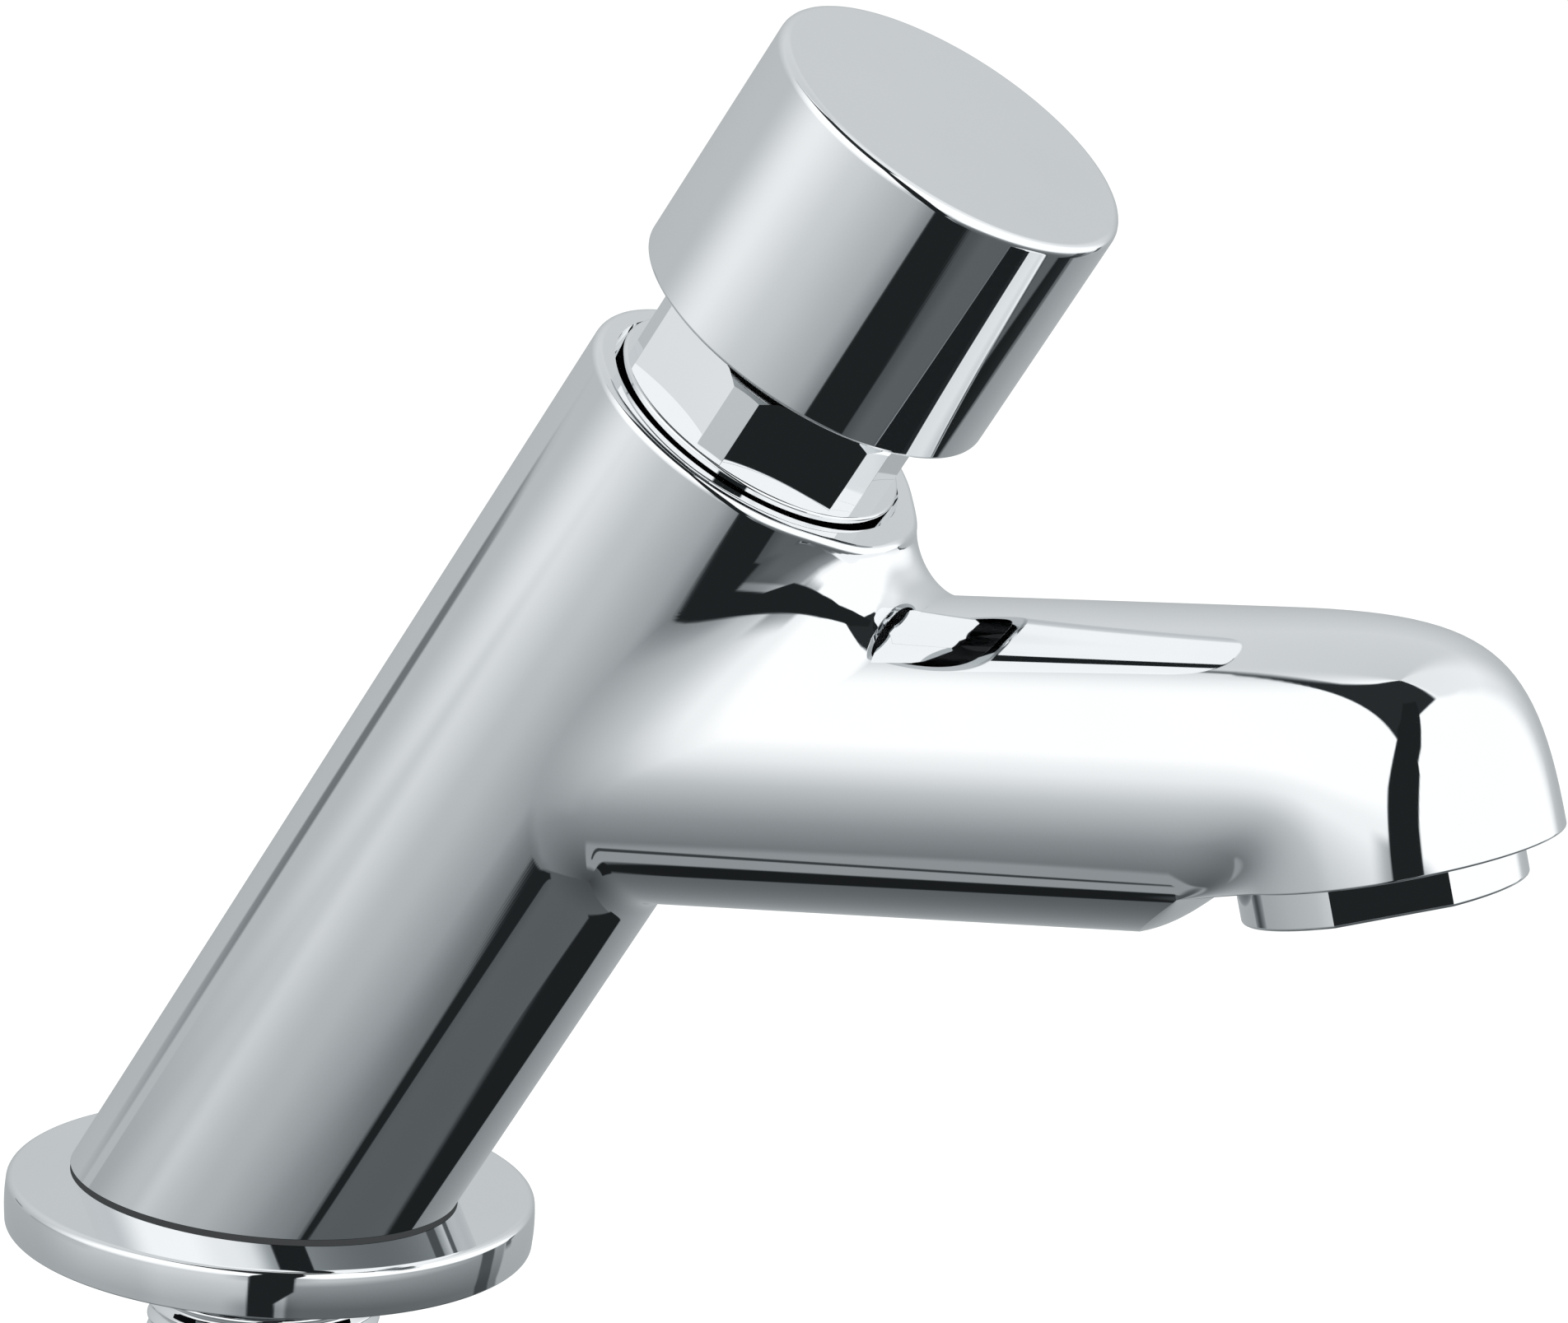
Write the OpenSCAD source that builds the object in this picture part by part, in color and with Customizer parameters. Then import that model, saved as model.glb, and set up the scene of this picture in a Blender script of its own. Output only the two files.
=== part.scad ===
// Push timed tap: a leaning barrel with a push button on top and a rising spout.
// Sizes are in millimetres. Z is up, the deck is the plane z = 0, the spout points along +X.

/* [Base plate] */
// diameter of the round base plate
plate_d = 50; // [46:0.5:60]
// thickness of the base plate
plate_t = 4.6; // [3.6:0.1:7]
// rounding of the plate's upper edge
plate_round = 0.7; // [0.3:0.1:1.2]
// narrow dark gap between the body and the plate
shadow_gap = 0.3; // [0.3:0.1:1.2]
// thickness of the gasket let into the plate's underside
gasket_t = 1.6; // [1:0.1:2.4]
// width of that gasket ring
gasket_w = 5; // [3:0.5:6]
// rim of plate left outside the gasket
gasket_margin = 3; // [2:0.5:4]

/* [Barrel] */
// lean of the barrel from upright, towards the spout, in degrees
lean = 29.5; // [26:0.5:33]
// distance of the barrel axis behind the plate's centre, at the plate's top
axis_back = 1; // [0:0.25:2]
// diameter of the barrel
barrel_d = 32.9; // [31.5:0.1:36]
// length of the barrel along its axis, from the plate's top to the rim
barrel_len = 93.5; // [90:0.5:105]
// rounding of the barrel's outer rim
rim_round = 0.8; // [0.3:0.1:1.2]
// chamfer at the mouth of the barrel's bore
mouth_chamfer = 0.5; // [0.2:0.1:0.8]

/* [Spout] */
// diameter of the round spout
spout_d = 28.8; // [28.4:0.1:31]
// point on the barrel axis where the spout's axis leaves it, above the plate's top
spout_at = 55.8; // [53:0.1:59]
// rise of the spout from level, in degrees
spout_rise = 8.7; // [4:0.1:12]
// length of the spout's axis, from the barrel's axis to the middle of the elbow
spout_len = 82; // [74:0.5:100]
// how much wider the rounded elbow is than the spout
elbow_extra = 1; // [0.2:0.1:1.4]
// tilt of the outlet from straight down, outwards, in degrees
outlet_tilt = 17; // [12:0.5:22]
// length of the outlet below the middle of the elbow
drop_len = 6.8; // [6.2:0.1:10]
// distance of the outlet's thread behind the elbow's middle
outlet_back = 1.7; // [0:0.1:1.8]
// slope of the bevel under the spout, from the spout's own line, in degrees
bevel_slope = 34; // [24:1:40]
// length of the bevel measured along the spout, back from the outlet's edge
bevel_run = 9; // [6:0.1:10]
// fillet between the barrel and the top of the spout
neck_top = 4; // [3:0.5:6]
// fillet between the barrel and the sides of the spout
neck_side = 14; // [6:0.5:16]
// fillet between the barrel and the underside of the spout
neck_under = 3; // [2:0.5:6]
// how softly the neck's fillet widens from its top and underside to its sides
neck_soft = 0.35; // [0.2:0.05:0.8]
// bore of the waterway in the spout
waterway_d = 11; // [8:0.5:12]

/* [Head nut] */
// width of the nut across its flats
nut_flats = 24.4; // [23:0.1:26]
// width of the nut across the narrow flats that trim its corners
nut_corner_w = 26.6; // [25.8:0.1:27.5]
// height of the nut's hexagon
nut_h = 7.5; // [5:0.1:8]
// angle to which the nut is tightened, in degrees
nut_turn = 8; // [0:1:59]
// diameter of the nut's threaded shank
shank_d = 28; // [27.6:0.1:28.6]
// depth of the shank inside the barrel
shank_depth = 12; // [10:0.5:14]
// height of the shank that shows above the rim
shank_proud = 0.9; // [0.4:0.1:1.6]

/* [Push button] */
// diameter of the button
cap_d = 34.3; // [33:0.1:38]
// height of the button
cap_h = 23.7; // [20:0.1:28]
// side wall of the button
cap_wall = 2.2; // [1.5:0.1:2.4]
// top wall of the button
cap_roof = 3; // [2:0.1:4]
// rounding of the button's upper edge
cap_round = 0.9; // [0.4:0.1:1.8]
// stroke of the button
press_travel = 8; // [5:0.5:9]
// room left above the rim when the button is fully pressed
skirt_clear = 2.4; // [1.8:0.1:4]
// thickness of the carrier disc inside the button
insert_t = 6; // [5:0.5:8]
// diameter of the carrier's central boss
boss_d = 12; // [9:0.5:15]

/* [Plunger] */
// diameter of the stem
stem_d = 6; // [5:0.5:7]
// thickness of the piston
piston_t = 6; // [5:0.5:7]
// height of the lip seal round the piston
lip_h = 2.6; // [2:0.1:3]
// depth of the groove that holds the lip seal
lip_depth = 1.6; // [1:0.1:2]
// thickness of the valve's rubber washer
washer_t = 3; // [2:0.5:4]
// diameter of the valve's rubber washer
washer_d = 14.6; // [13.5:0.1:15.4]
// thickness of the valve's holder
holder_t = 3.5; // [2.5:0.5:5]
// width across flats of the nut under the valve
valve_nut_flats = 9; // [8:0.5:11]
// height of the nut under the valve
valve_nut_h = 3.5; // [2.5:0.5:4.5]

/* [Cartridge] */
// inside diameter of the cartridge
chamber_d = 18; // [17.4:0.1:18.6]
// wall of the cartridge sleeve
sleeve_wall = 2.8; // [2.4:0.1:3]
// thickness of the flange that the head nut clamps
flange_t = 3; // [2:0.5:4]
// length of the sleeve below its flange
sleeve_len = 42.5; // [40:0.5:46]
// depth of the inlet skirt under the valve seat
skirt_len = 5; // [4.4:0.2:7]
// thickness of the valve seat
seat_t = 3; // [2:0.5:4]
// bore of the valve seat
seat_d = 11; // [9.5:0.5:12]
// height of the outlet windows
window_h = 8; // [6:0.5:9]
// width of the outlet windows
window_w = 7; // [5:0.5:9]
// thickness of the ledge that carries the spring
ledge_t = 2.5; // [2:0.5:3.5]
// section of the sleeve's two sealing rings
ring_d = 2; // [1.6:0.1:2.1]
// diameter of the wire that keeps the bleed hole clean
bleed_d = 0.7; // [0.5:0.1:1]
// distance of the bleed wire from the axis
bleed_at = 4.8; // [4.5:0.1:5]
// depth of the inlet chamber below the cartridge
inlet_room = 23; // [21:0.5:24]
// diameter of the inlet chamber
inlet_d = 17.6; // [16.8:0.1:18]

/* [Return spring] */
// wire of the return spring
spring_wire = 1.2; // [0.8:0.1:1.4]
// mean diameter of the return spring
spring_d = 14.4; // [13.6:0.1:15]
// curls of the return spring
spring_curls = 5; // [4:1:6]

/* [Inlet] */
// outside diameter of the tail's upper thread, which takes the back nut
tail_d = 22; // [21.5:0.1:22.4]
// outside diameter of the tail's lower thread, a half-inch pipe thread
inlet_thread_d = 20.955; // [19:0.005:21]
// bore of the tail
tail_bore = 14; // [11:0.5:14.5]
// length of the tail below the deck's upper face
tail_len = 50; // [44:1:70]
// depth of the tail's thread in the body
tail_engage = 10.8; // [8:0.2:11]
// thickness of the deck that the tap is shown clamped to
deck_grip = 18; // [6:1:20]
// thickness of the rubber washer under the deck
deck_washer_t = 3; // [2:0.5:4]
// thickness of the steel washer under that
clamp_washer_t = 1.5; // [1:0.5:2.5]
// outside diameter of both washers
washers_d = 42; // [34:1:48]
// width of the back nut across flats
back_nut_flats = 30; // [27:0.5:36]
// height of the back nut
back_nut_h = 8; // [6:0.5:10]
// depth of the pocket for the strainer in the tail's end
pocket_len = 11; // [10:0.5:14]
// diameter of that pocket
pocket_d = 17; // [16:0.1:17.4]
// thickness of the flow regulator
regulator_t = 4; // [3:0.5:5]

/* [Aerator] */
// diameter of the aerator's collar
collar_d = 25.2; // [24.6:0.1:26]
// height of the collar below the outlet's rim
collar_h = 3.6; // [2.5:0.1:5]
// depth of the two spanner flats on the collar
flat_depth = 1.1; // [0.5:0.1:1.4]
// angle at which the flats stand when the aerator is tight, in degrees
flat_turn = 63; // [0:1:179]
// diameter of the aerator's thread
aerator_d = 24; // [23:0.1:24.2]
// depth of the threaded seat in the spout
seat_depth = 6; // [5:0.1:6.1]
// thickness of the aerator's rubber washer
aerator_washer_t = 1.6; // [1:0.1:2]
// wall of the aerator's shell
shell_wall = 1.35; // [1:0.05:1.8]
// thickness of the lip that holds the insert
lip_t = 1.2; // [0.8:0.1:1.6]
// thickness of the wire screen
screen_t = 0.5; // [0.3:0.1:0.8]

/* [Clearances] */
// radial clearance of a moving fit
running_gap = 0.05; // [0.02:0.01:0.1]
// radial clearance of a thread or of a push-in piece
seat_gap = 0.1; // [0.05:0.01:0.2]
// clearance between pieces that pass without touching
pass_gap = 0.3; // [0.2:0.05:0.5]

/* [Hidden] */
$fn = 96;
far = 400;

// radii of the main round pieces
plate_r = plate_d / 2;
barrel_r = barrel_d / 2;
spout_r = spout_d / 2;
elbow_r = spout_r + elbow_extra / 2;
cap_r = cap_d / 2;
stem_r = stem_d / 2;
tail_r = tail_d / 2;
inlet_thread_r = inlet_thread_d / 2;

// stations along the barrel's axis, counted from the plate's top
rim = barrel_len;
nut_low = rim - shank_depth;
hex_low = rim + shank_proud;
nut_top = hex_low + nut_h;
cap_low = rim + press_travel + skirt_clear;
cap_top = cap_low + cap_h;
ceiling = cap_top - cap_roof;
disc_low = ceiling - insert_t;
boss_low = nut_top + press_travel + pass_gap;
web_t = 1.5;
head_room = 3;
stem_top = ceiling - head_room - web_t;
flange_low = nut_low - flange_t;
sleeve_low = flange_low - sleeve_len;
seat_low = sleeve_low + skirt_len;
seat_top = seat_low + seat_t;
window_low = seat_top + 2;
ledge_low = window_low + window_h + 1;
ledge_top = ledge_low + ledge_t;
piston_top = nut_low - pass_gap;
piston_low = piston_top - piston_t;
washer_low = seat_low - washer_t;
holder_low = washer_low - holder_t;
valve_nut_low = holder_low - valve_nut_h;
stem_low = valve_nut_low - 1;
inlet_low = sleeve_low - inlet_room;

// cartridge rings and gallery
chamber_r = chamber_d / 2;
sleeve_r = chamber_r + sleeve_wall;
bore_r = sleeve_r + 2 * seat_gap;
ring_r = ring_d / 2;
groove_r = bore_r - ring_d - seat_gap;
groove_h = ring_d * 1.2;
lower_groove = sleeve_low + 1.2;
upper_groove = flange_low - 3 - groove_h;
gallery_r = bore_r + 1.2;
gallery_low = lower_groove + groove_h + 3;
gallery_top = upper_groove - 1;

// head nut and gland
shank_r = shank_d / 2;
mouth_r = shank_r + seat_gap;
gland_r = stem_r + 2.3;
gland_ring_r = (gland_r - stem_r - 2 * running_gap) / 2;
gland_floor = nut_low + 4;
gland_low = gland_floor + 2 * gland_ring_r + 0.2;

// carrier and screw in the button
insert_r = cap_r - cap_wall - seat_gap;
screw_r = 1.5;
screw_head_r = 3;
screw_head_h = 2.4;
screw_depth = 8;

// inlet side
socket_r = tail_r + seat_gap;
body_low = plate_t + shadow_gap;
tail_top = body_low + tail_engage;
socket_top = tail_top + 0.6;
washers_top = -deck_grip;
clamp_top = washers_top - deck_washer_t;
back_nut_top = clamp_top - clamp_washer_t;
thread_top = back_nut_top - back_nut_h - 1.5;
gasket_r = plate_r - gasket_margin;
seal_in = tail_r + 1;
seal_out = seal_in + 2.2;
seal_rise = shadow_gap + 1;
pocket_r = pocket_d / 2;
pocket_top = -tail_len + pocket_len;
regulator_low = pocket_top - regulator_t;
strainer_low = -tail_len + 0.6;

// outlet, counted along the outlet's own axis from the middle of the elbow
aerator_r = aerator_d / 2;
outlet_r = aerator_r + seat_gap;
collar_r = collar_d / 2;
seat_floor = drop_len - seat_depth;
shell_low = drop_len + collar_h;
shell_top = seat_floor + aerator_washer_t;
shell_bore = aerator_r - shell_wall;
insert_low = shell_low - lip_t;
insert_top = shell_top + screen_t;
outlet_room = aerator_r - 3.4;

// points on the barrel's axis, and the middle of the elbow
function on_axis(h) = [h * sin(lean) - axis_back, 0, plate_t + h * cos(lean)];
elbow_at = on_axis(spout_at) + spout_len * [cos(spout_rise), 0, sin(spout_rise)];
// place along the spout where the bevel starts: the outlet's edge, seen in the spout's own line
edge_angle = outlet_tilt - spout_rise;
bevel_start = spout_len - elbow_r * cos(edge_angle) + drop_len * sin(edge_angle) - bevel_run;

// neck: a ball rolls round the corner between the spout and the barrel, at angle a round the spout.
// Its centre lies a ball's radius outside both, and its two contacts bound the fillet there.
// The share is 1 at the top and the underside and 0 at the sides.
function neck_share(a) = pow(cos(a), 2)
    * sqrt((1 + pow(neck_soft, 2)) / (pow(cos(a), 2) + pow(neck_soft, 2)));
function neck_ball(a) = neck_side + ((cos(a) > 0 ? neck_top : neck_under) - neck_side) * neck_share(a);
spout_line = [cos(spout_rise), 0, sin(spout_rise)];
barrel_line = [sin(lean), 0, cos(lean)];
neck_angle = 90 - lean - spout_rise;
neck_steps = 48;
neck_rows = 6;
tuck = 0.1;
// the rounds' own start lines are turned away from the neck
start_turn = 101;
function spout_out(a) = [-sin(spout_rise) * cos(a), sin(a), cos(spout_rise) * cos(a)];
function ball_along(a) = (cos(neck_angle) * (spout_r + neck_ball(a)) * cos(a)
    + sqrt(pow(barrel_r + neck_ball(a), 2) - pow((spout_r + neck_ball(a)) * sin(a), 2))) / sin(neck_angle);
function ball_from_axis(a) = (spout_r + neck_ball(a)) * spout_out(a) + ball_along(a) * spout_line;
function barrel_out(a) = (ball_from_axis(a) - (ball_from_axis(a) * barrel_line) * barrel_line)
    / (barrel_r + neck_ball(a));
function neck_bend(a) = acos(spout_out(a) * barrel_out(a));
function neck_way(a, f) = (sin((1 - f) * neck_bend(a)) * spout_out(a) + sin(f * neck_bend(a)) * barrel_out(a))
    / sin(neck_bend(a));
function neck_point(a, f) = on_axis(spout_at) + ball_from_axis(a)
    - (neck_ball(a) + (f == 0 || f == 1 ? tuck : 0)) * neck_way(a, f);
neck_points = concat(
    [for (i = [0 : neck_steps - 1]) for (j = [0 : neck_rows])
        neck_point(360 * i / neck_steps, j / neck_rows)],
    [on_axis(spout_at) + 5 * spout_line, on_axis(spout_at)]);
function neck_index(i, j) = (i % neck_steps) * (neck_rows + 1) + j;
neck_inner = neck_steps * (neck_rows + 1);
neck_faces = concat(
    [for (i = [0 : neck_steps - 1]) for (j = [0 : neck_rows - 1]) for (half = [0, 1])
        half == 0
        ? [neck_index(i, j), neck_index(i, j + 1), neck_index(i + 1, j + 1)]
        : [neck_index(i, j), neck_index(i + 1, j + 1), neck_index(i + 1, j)]],
    [for (i = [0 : neck_steps - 1]) for (side = [0, 1])
        side == 0
        ? [neck_inner, neck_index(i, 0), neck_index(i + 1, 0)]
        : [neck_inner + 1, neck_index(i + 1, neck_rows), neck_index(i, neck_rows)]]);

// the neck's upper end reaches the rim, and is rounded off there like the rest of the rim
neck_over = max(0, spout_at + ball_from_axis(0) * barrel_line - rim + rim_round);
neck_rim_r = barrel_r + neck_top - sqrt(pow(neck_top, 2) - pow(min(neck_top, neck_over), 2));

module neck_form() {
    intersection() {
        polyhedron(points = neck_points, faces = neck_faces);
        along_barrel()
            union() {
                rod(barrel_d * 3, -barrel_d, rim - rim_round);
                rounded_rod(neck_rim_r, -barrel_d, rim, rim_round);
            }
    }
}

module along_barrel(h = 0) {
    translate(on_axis(0))
        rotate([0, lean, 0])
            translate([0, 0, h])
                children();
}

module along_spout(s = 0) {
    translate(on_axis(spout_at))
        rotate([0, 90 - spout_rise, 0])
            translate([0, 0, s])
                children();
}

module along_outlet(d = 0) {
    translate(elbow_at)
        rotate([0, 180 - outlet_tilt, 0])
            translate([outlet_back, 0, d])
                children();
}

// a straight rod from one station to another
module rod(r, low, high) {
    translate([0, 0, low])
        cylinder(r = r, h = high - low);
}

// a tube from one station to another
module tube(r, bore, low, high) {
    difference() {
        rod(r, low, high);
        rod(bore, low - 1, high + 1);
    }
}

// a rod whose upper edge is rounded
module rounded_rod(r, low, high, edge) {
    translate([0, 0, low])
        rotate_extrude()
            union() {
                square([r - edge, high - low]);
                square([r, high - low - edge]);
                translate([r - edge, high - low - edge])
                    intersection() {
                        circle(r = edge);
                        square([edge, edge]);
                    }
            }
}

// a hexagonal rod
module hex_rod(flats, low, high) {
    translate([0, 0, low])
        rotate([0, 0, 30])
            cylinder(r = flats / 2 / cos(30), h = high - low, $fn = 6);
}

// a ring of round section
module round_ring(r, section, at) {
    translate([0, 0, at])
        rotate_extrude()
            translate([r, 0])
                circle(r = section, $fn = 32);
}

// outer form of the barrel, cut level above the plate
module barrel_form() {
    difference() {
        along_barrel()
            rotate([0, 0, start_turn + 69])
                rounded_rod(barrel_r, -barrel_d, rim, rim_round);
        translate([-far / 2, -far / 2, body_low - far])
            cube(far);
    }
}

// outer form of the spout, with the bevel under its end
module spout_form() {
    difference() {
        along_spout()
            rotate([0, 0, start_turn])
                rod(spout_r, 0, spout_len);
        along_spout(bevel_start)
            translate([spout_r, 0, 0])
                rotate([0, -bevel_slope, 0])
                    translate([0, -spout_d, -spout_d / 4])
                        cube([spout_d, 2 * spout_d, spout_d * 2]);
    }
}

// rounded elbow that turns the water down
module elbow_form() {
    translate(elbow_at)
        rotate([0, 180 - outlet_tilt, 0])
            difference() {
                union() {
                    sphere(r = elbow_r);
                    rod(elbow_r - 0.05, 0, drop_len + 1);
                }
                translate([-elbow_r * 2, -elbow_r * 2, drop_len])
                    cube(elbow_r * 4);
            }
}

module body() {
    color([0.86, 0.87, 0.88])
    difference() {
        union() {
            barrel_form();
            spout_form();
            elbow_form();
            neck_form();
        }
        // threaded mouth, cartridge bore, gallery and inlet chamber
        along_barrel() {
            rod(mouth_r, flange_low, rim + 1);
            translate([0, 0, rim - mouth_chamfer])
                cylinder(r1 = mouth_r, r2 = mouth_r + 2 * mouth_chamfer, h = 2 * mouth_chamfer);
            rod(bore_r, sleeve_low - pass_gap, rim);
            rod(gallery_r, gallery_low, gallery_top);
            rod(inlet_d / 2, inlet_low, rim);
        }
        // waterway along the spout, and down to the aerator's seat
        along_spout()
            rod(waterway_d / 2, 0, spout_len);
        along_outlet() {
            rod(outlet_room, 0, drop_len);
            rod(outlet_r, seat_floor, drop_len + 1);
            rod(collar_r + pass_gap, drop_len, drop_len + spout_r);
        }
        // threaded socket for the tail, and the groove of the seal round it
        rod(socket_r, 0, socket_top);
        tube(seal_out + seat_gap, seal_in - seat_gap, 0, plate_t + seal_rise);
    }
}

module base_plate() {
    color([0.83, 0.84, 0.85])
    difference() {
        rounded_rod(plate_r, 0, plate_t, plate_round);
        rod(tail_r + pass_gap, -1, plate_t + 1);
        tube(gasket_r + seat_gap, gasket_r - gasket_w - seat_gap, -1, gasket_t);
    }
}

module base_gasket() {
    color([0.1, 0.1, 0.1])
        tube(gasket_r, gasket_r - gasket_w, 0, gasket_t);
}

module body_seal() {
    color([0.12, 0.12, 0.12])
        tube(seal_out, seal_in, plate_t, plate_t + seal_rise);
}

module inlet_tail() {
    color([0.83, 0.84, 0.85])
    difference() {
        union() {
            rod(inlet_thread_r, -tail_len + 1, thread_top + 1);
            rod(tail_r, thread_top, tail_top - 1);
            translate([0, 0, -tail_len])
                cylinder(r1 = inlet_thread_r - 1, r2 = inlet_thread_r, h = 1);
            translate([0, 0, tail_top - 1])
                cylinder(r1 = tail_r, r2 = tail_r - 1, h = 1);
        }
        rod(tail_bore / 2, -tail_len - 1, tail_top + 1);
        rod(pocket_r, -tail_len - 1, pocket_top);
    }
}

module deck_washer() {
    color([0.1, 0.1, 0.1])
        tube(washers_d / 2, tail_r + pass_gap, clamp_top, washers_top);
}

module clamp_washer() {
    color([0.62, 0.63, 0.64])
        tube(washers_d / 2, tail_r + pass_gap, back_nut_top, clamp_top);
}

module back_nut() {
    color([0.78, 0.65, 0.36])
    difference() {
        intersection() {
            hex_rod(back_nut_flats, back_nut_top - back_nut_h, back_nut_top);
            rod(back_nut_flats * 0.56, back_nut_top - back_nut_h, back_nut_top);
        }
        rod(tail_r + seat_gap, back_nut_top - back_nut_h - 1, back_nut_top + 1);
    }
}

// puck that evens out the flow: a ring gap crossed by four bridges
module flow_regulator() {
    color([0.20, 0.45, 0.70])
    difference() {
        rod(pocket_r - seat_gap, regulator_low, pocket_top);
        difference() {
            tube(pocket_r - 2.6, pocket_r - 4.2, regulator_low - 1, pocket_top + 1);
            for (a = [0, 90])
                rotate([0, 0, a])
                    translate([-pocket_r, -0.8, regulator_low - 2])
                        cube([pocket_d, 1.6, regulator_t + 4]);
        }
    }
}

// thimble with a rim, standing in the pocket under the regulator
module inlet_strainer() {
    color([0.70, 0.71, 0.72])
    difference() {
        union() {
            rod(pocket_r - seat_gap, regulator_low - 1.2, regulator_low);
            rod(pocket_r - 2.2, strainer_low, regulator_low - 0.6);
        }
        rod(pocket_r - 2.8, strainer_low + 0.6, regulator_low + 1);
    }
}

module cartridge_housing() {
    color([0.80, 0.67, 0.38])
    along_barrel()
        difference() {
            union() {
                rod(sleeve_r, sleeve_low, nut_low);
                rod(mouth_r - seat_gap, flange_low, nut_low);
            }
            // spring chamber above the ledge, outlet chamber under it, inlet skirt at the bottom
            rod(chamber_r, ledge_top, nut_low + 1);
            rod(chamber_r, seat_top, ledge_low);
            rod(chamber_r, sleeve_low - 1, seat_low);
            rod(seat_d / 2, seat_low - 1, seat_top + 1);
            rod(stem_r + pass_gap, ledge_low - 1, ledge_top + 1);
            translate([0, bleed_at, 0])
                rod(bleed_d / 2 + running_gap, ledge_low - 1, ledge_top + 1);
            for (a = [45 : 90 : 315])
                rotate([0, 0, a])
                    translate([0, -window_w / 2, window_low])
                        cube([sleeve_r + 1, window_w, window_h]);
            tube(sleeve_r + 1, groove_r, lower_groove, lower_groove + groove_h);
            tube(sleeve_r + 1, groove_r, upper_groove, upper_groove + groove_h);
        }
}

module lower_o_ring() {
    color([0.1, 0.1, 0.1])
    along_barrel()
        round_ring((groove_r + bore_r) / 2, ring_r, lower_groove + groove_h / 2);
}

module upper_o_ring() {
    color([0.1, 0.1, 0.1])
    along_barrel()
        round_ring((groove_r + bore_r) / 2, ring_r, upper_groove + groove_h / 2);
}

// fine wire that stands in the ledge and passes through the piston's bleed hole
module bleed_wire() {
    color([0.75, 0.76, 0.78])
    along_barrel()
        translate([0, bleed_at, 0])
            rod(bleed_d / 2, ledge_low, piston_top);
}

module head_nut() {
    color([0.84, 0.85, 0.86])
    along_barrel()
        difference() {
            union() {
                rod(shank_r, nut_low, hex_low);
                intersection() {
                    rotate([0, 0, nut_turn])
                        hex_rod(nut_flats, hex_low - 1, nut_top);
                    rotate([0, 0, nut_turn + 30])
                        hex_rod(nut_corner_w, hex_low - 1, nut_top);
                }
            }
            rod(stem_r + pass_gap, nut_low - 1, nut_top + 1);
            rod(gland_r, gland_floor, nut_top + 1);
        }
}

module gland_bush() {
    color([0.92, 0.92, 0.90])
    along_barrel()
        tube(gland_r - seat_gap, stem_r + running_gap, gland_low, nut_top);
}

module stem_o_ring() {
    color([0.1, 0.1, 0.1])
    along_barrel()
        round_ring((gland_r + stem_r) / 2, gland_ring_r, gland_floor + gland_ring_r + 0.1);
}

module stem() {
    color([0.74, 0.75, 0.77])
    along_barrel()
        difference() {
            rod(stem_r, stem_low, stem_top);
            rod(screw_r + running_gap, stem_top - screw_depth - 1, stem_top + 1);
        }
}

module piston() {
    color([0.90, 0.90, 0.88])
    along_barrel()
        difference() {
            rod(chamber_r - pass_gap, piston_low, piston_top);
            rod(stem_r + seat_gap / 2, piston_low - 1, piston_top + 1);
            translate([0, bleed_at, 0])
                rod(bleed_d / 2 + pass_gap, piston_low - 1, piston_top + 1);
            tube(chamber_r + 1, chamber_r - lip_depth, piston_low + 1.6, piston_low + 1.6 + lip_h);
        }
}

// lip seal: a ring with a groove in its lower face, so that its outer lip can spread
module piston_seal() {
    color([0.12, 0.12, 0.12])
    along_barrel()
        translate([0, 0, piston_low + 1.6])
            difference() {
                tube(chamber_r - running_gap, chamber_r - lip_depth + seat_gap / 2, 0.05, lip_h - 0.05);
                tube(chamber_r - 0.5, chamber_r - lip_depth + 0.6, -1, lip_h * 0.55);
            }
}

// spring: one helical tube, from the ledge to the piston
spring_from = ledge_top + spring_wire / 2 + pass_gap / 2;
spring_to = piston_low - spring_wire / 2 - pass_gap / 2;
spring_rings = 8;
spring_sides = 6;
spring_steps = spring_curls * spring_rings;
spring_pitch = (spring_to - spring_from) / spring_curls;
spring_climb = atan(spring_pitch / (PI * spring_d));
function spring_turn(i) = 360 * i / spring_rings;
function spring_mid(i) = [spring_d / 2 * cos(spring_turn(i)), spring_d / 2 * sin(spring_turn(i)),
    spring_from + spring_pitch * i / spring_rings];
function spring_side(i) = [cos(spring_turn(i)), sin(spring_turn(i)), 0];
function spring_rise(i) = [sin(spring_climb) * sin(spring_turn(i)),
    -sin(spring_climb) * cos(spring_turn(i)), cos(spring_climb)];
function spring_point(i, k) = spring_mid(i)
    + spring_wire / 2 * (cos(360 * k / spring_sides) * spring_side(i)
    + sin(360 * k / spring_sides) * spring_rise(i));
function ring_point(i, k) = i * spring_sides + (k % spring_sides);
spring_points = [for (i = [0 : spring_steps]) for (k = [0 : spring_sides - 1]) spring_point(i, k)];
spring_skin = [for (i = [0 : spring_steps - 1]) for (k = [0 : spring_sides - 1]) for (half = [0, 1])
    half == 0
    ? [ring_point(i, k), ring_point(i + 1, k), ring_point(i + 1, k + 1)]
    : [ring_point(i, k), ring_point(i + 1, k + 1), ring_point(i, k + 1)]];
spring_caps = [for (k = [1 : spring_sides - 2]) for (end = [0, 1])
    end == 0
    ? [ring_point(0, 0), ring_point(0, k), ring_point(0, k + 1)]
    : [ring_point(spring_steps, 0), ring_point(spring_steps, k + 1), ring_point(spring_steps, k)]];
spring_gap = min([for (i = [0 : spring_steps]) for (j = [i + 5 : 1 : min(i + 12, spring_steps)])
    norm(spring_mid(i) - spring_mid(j))]) - spring_wire;
echo(spring_least_gap = spring_gap);

module return_spring() {
    color([0.70, 0.71, 0.73])
    along_barrel()
        polyhedron(points = spring_points, faces = concat(spring_skin, spring_caps));
}

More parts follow.
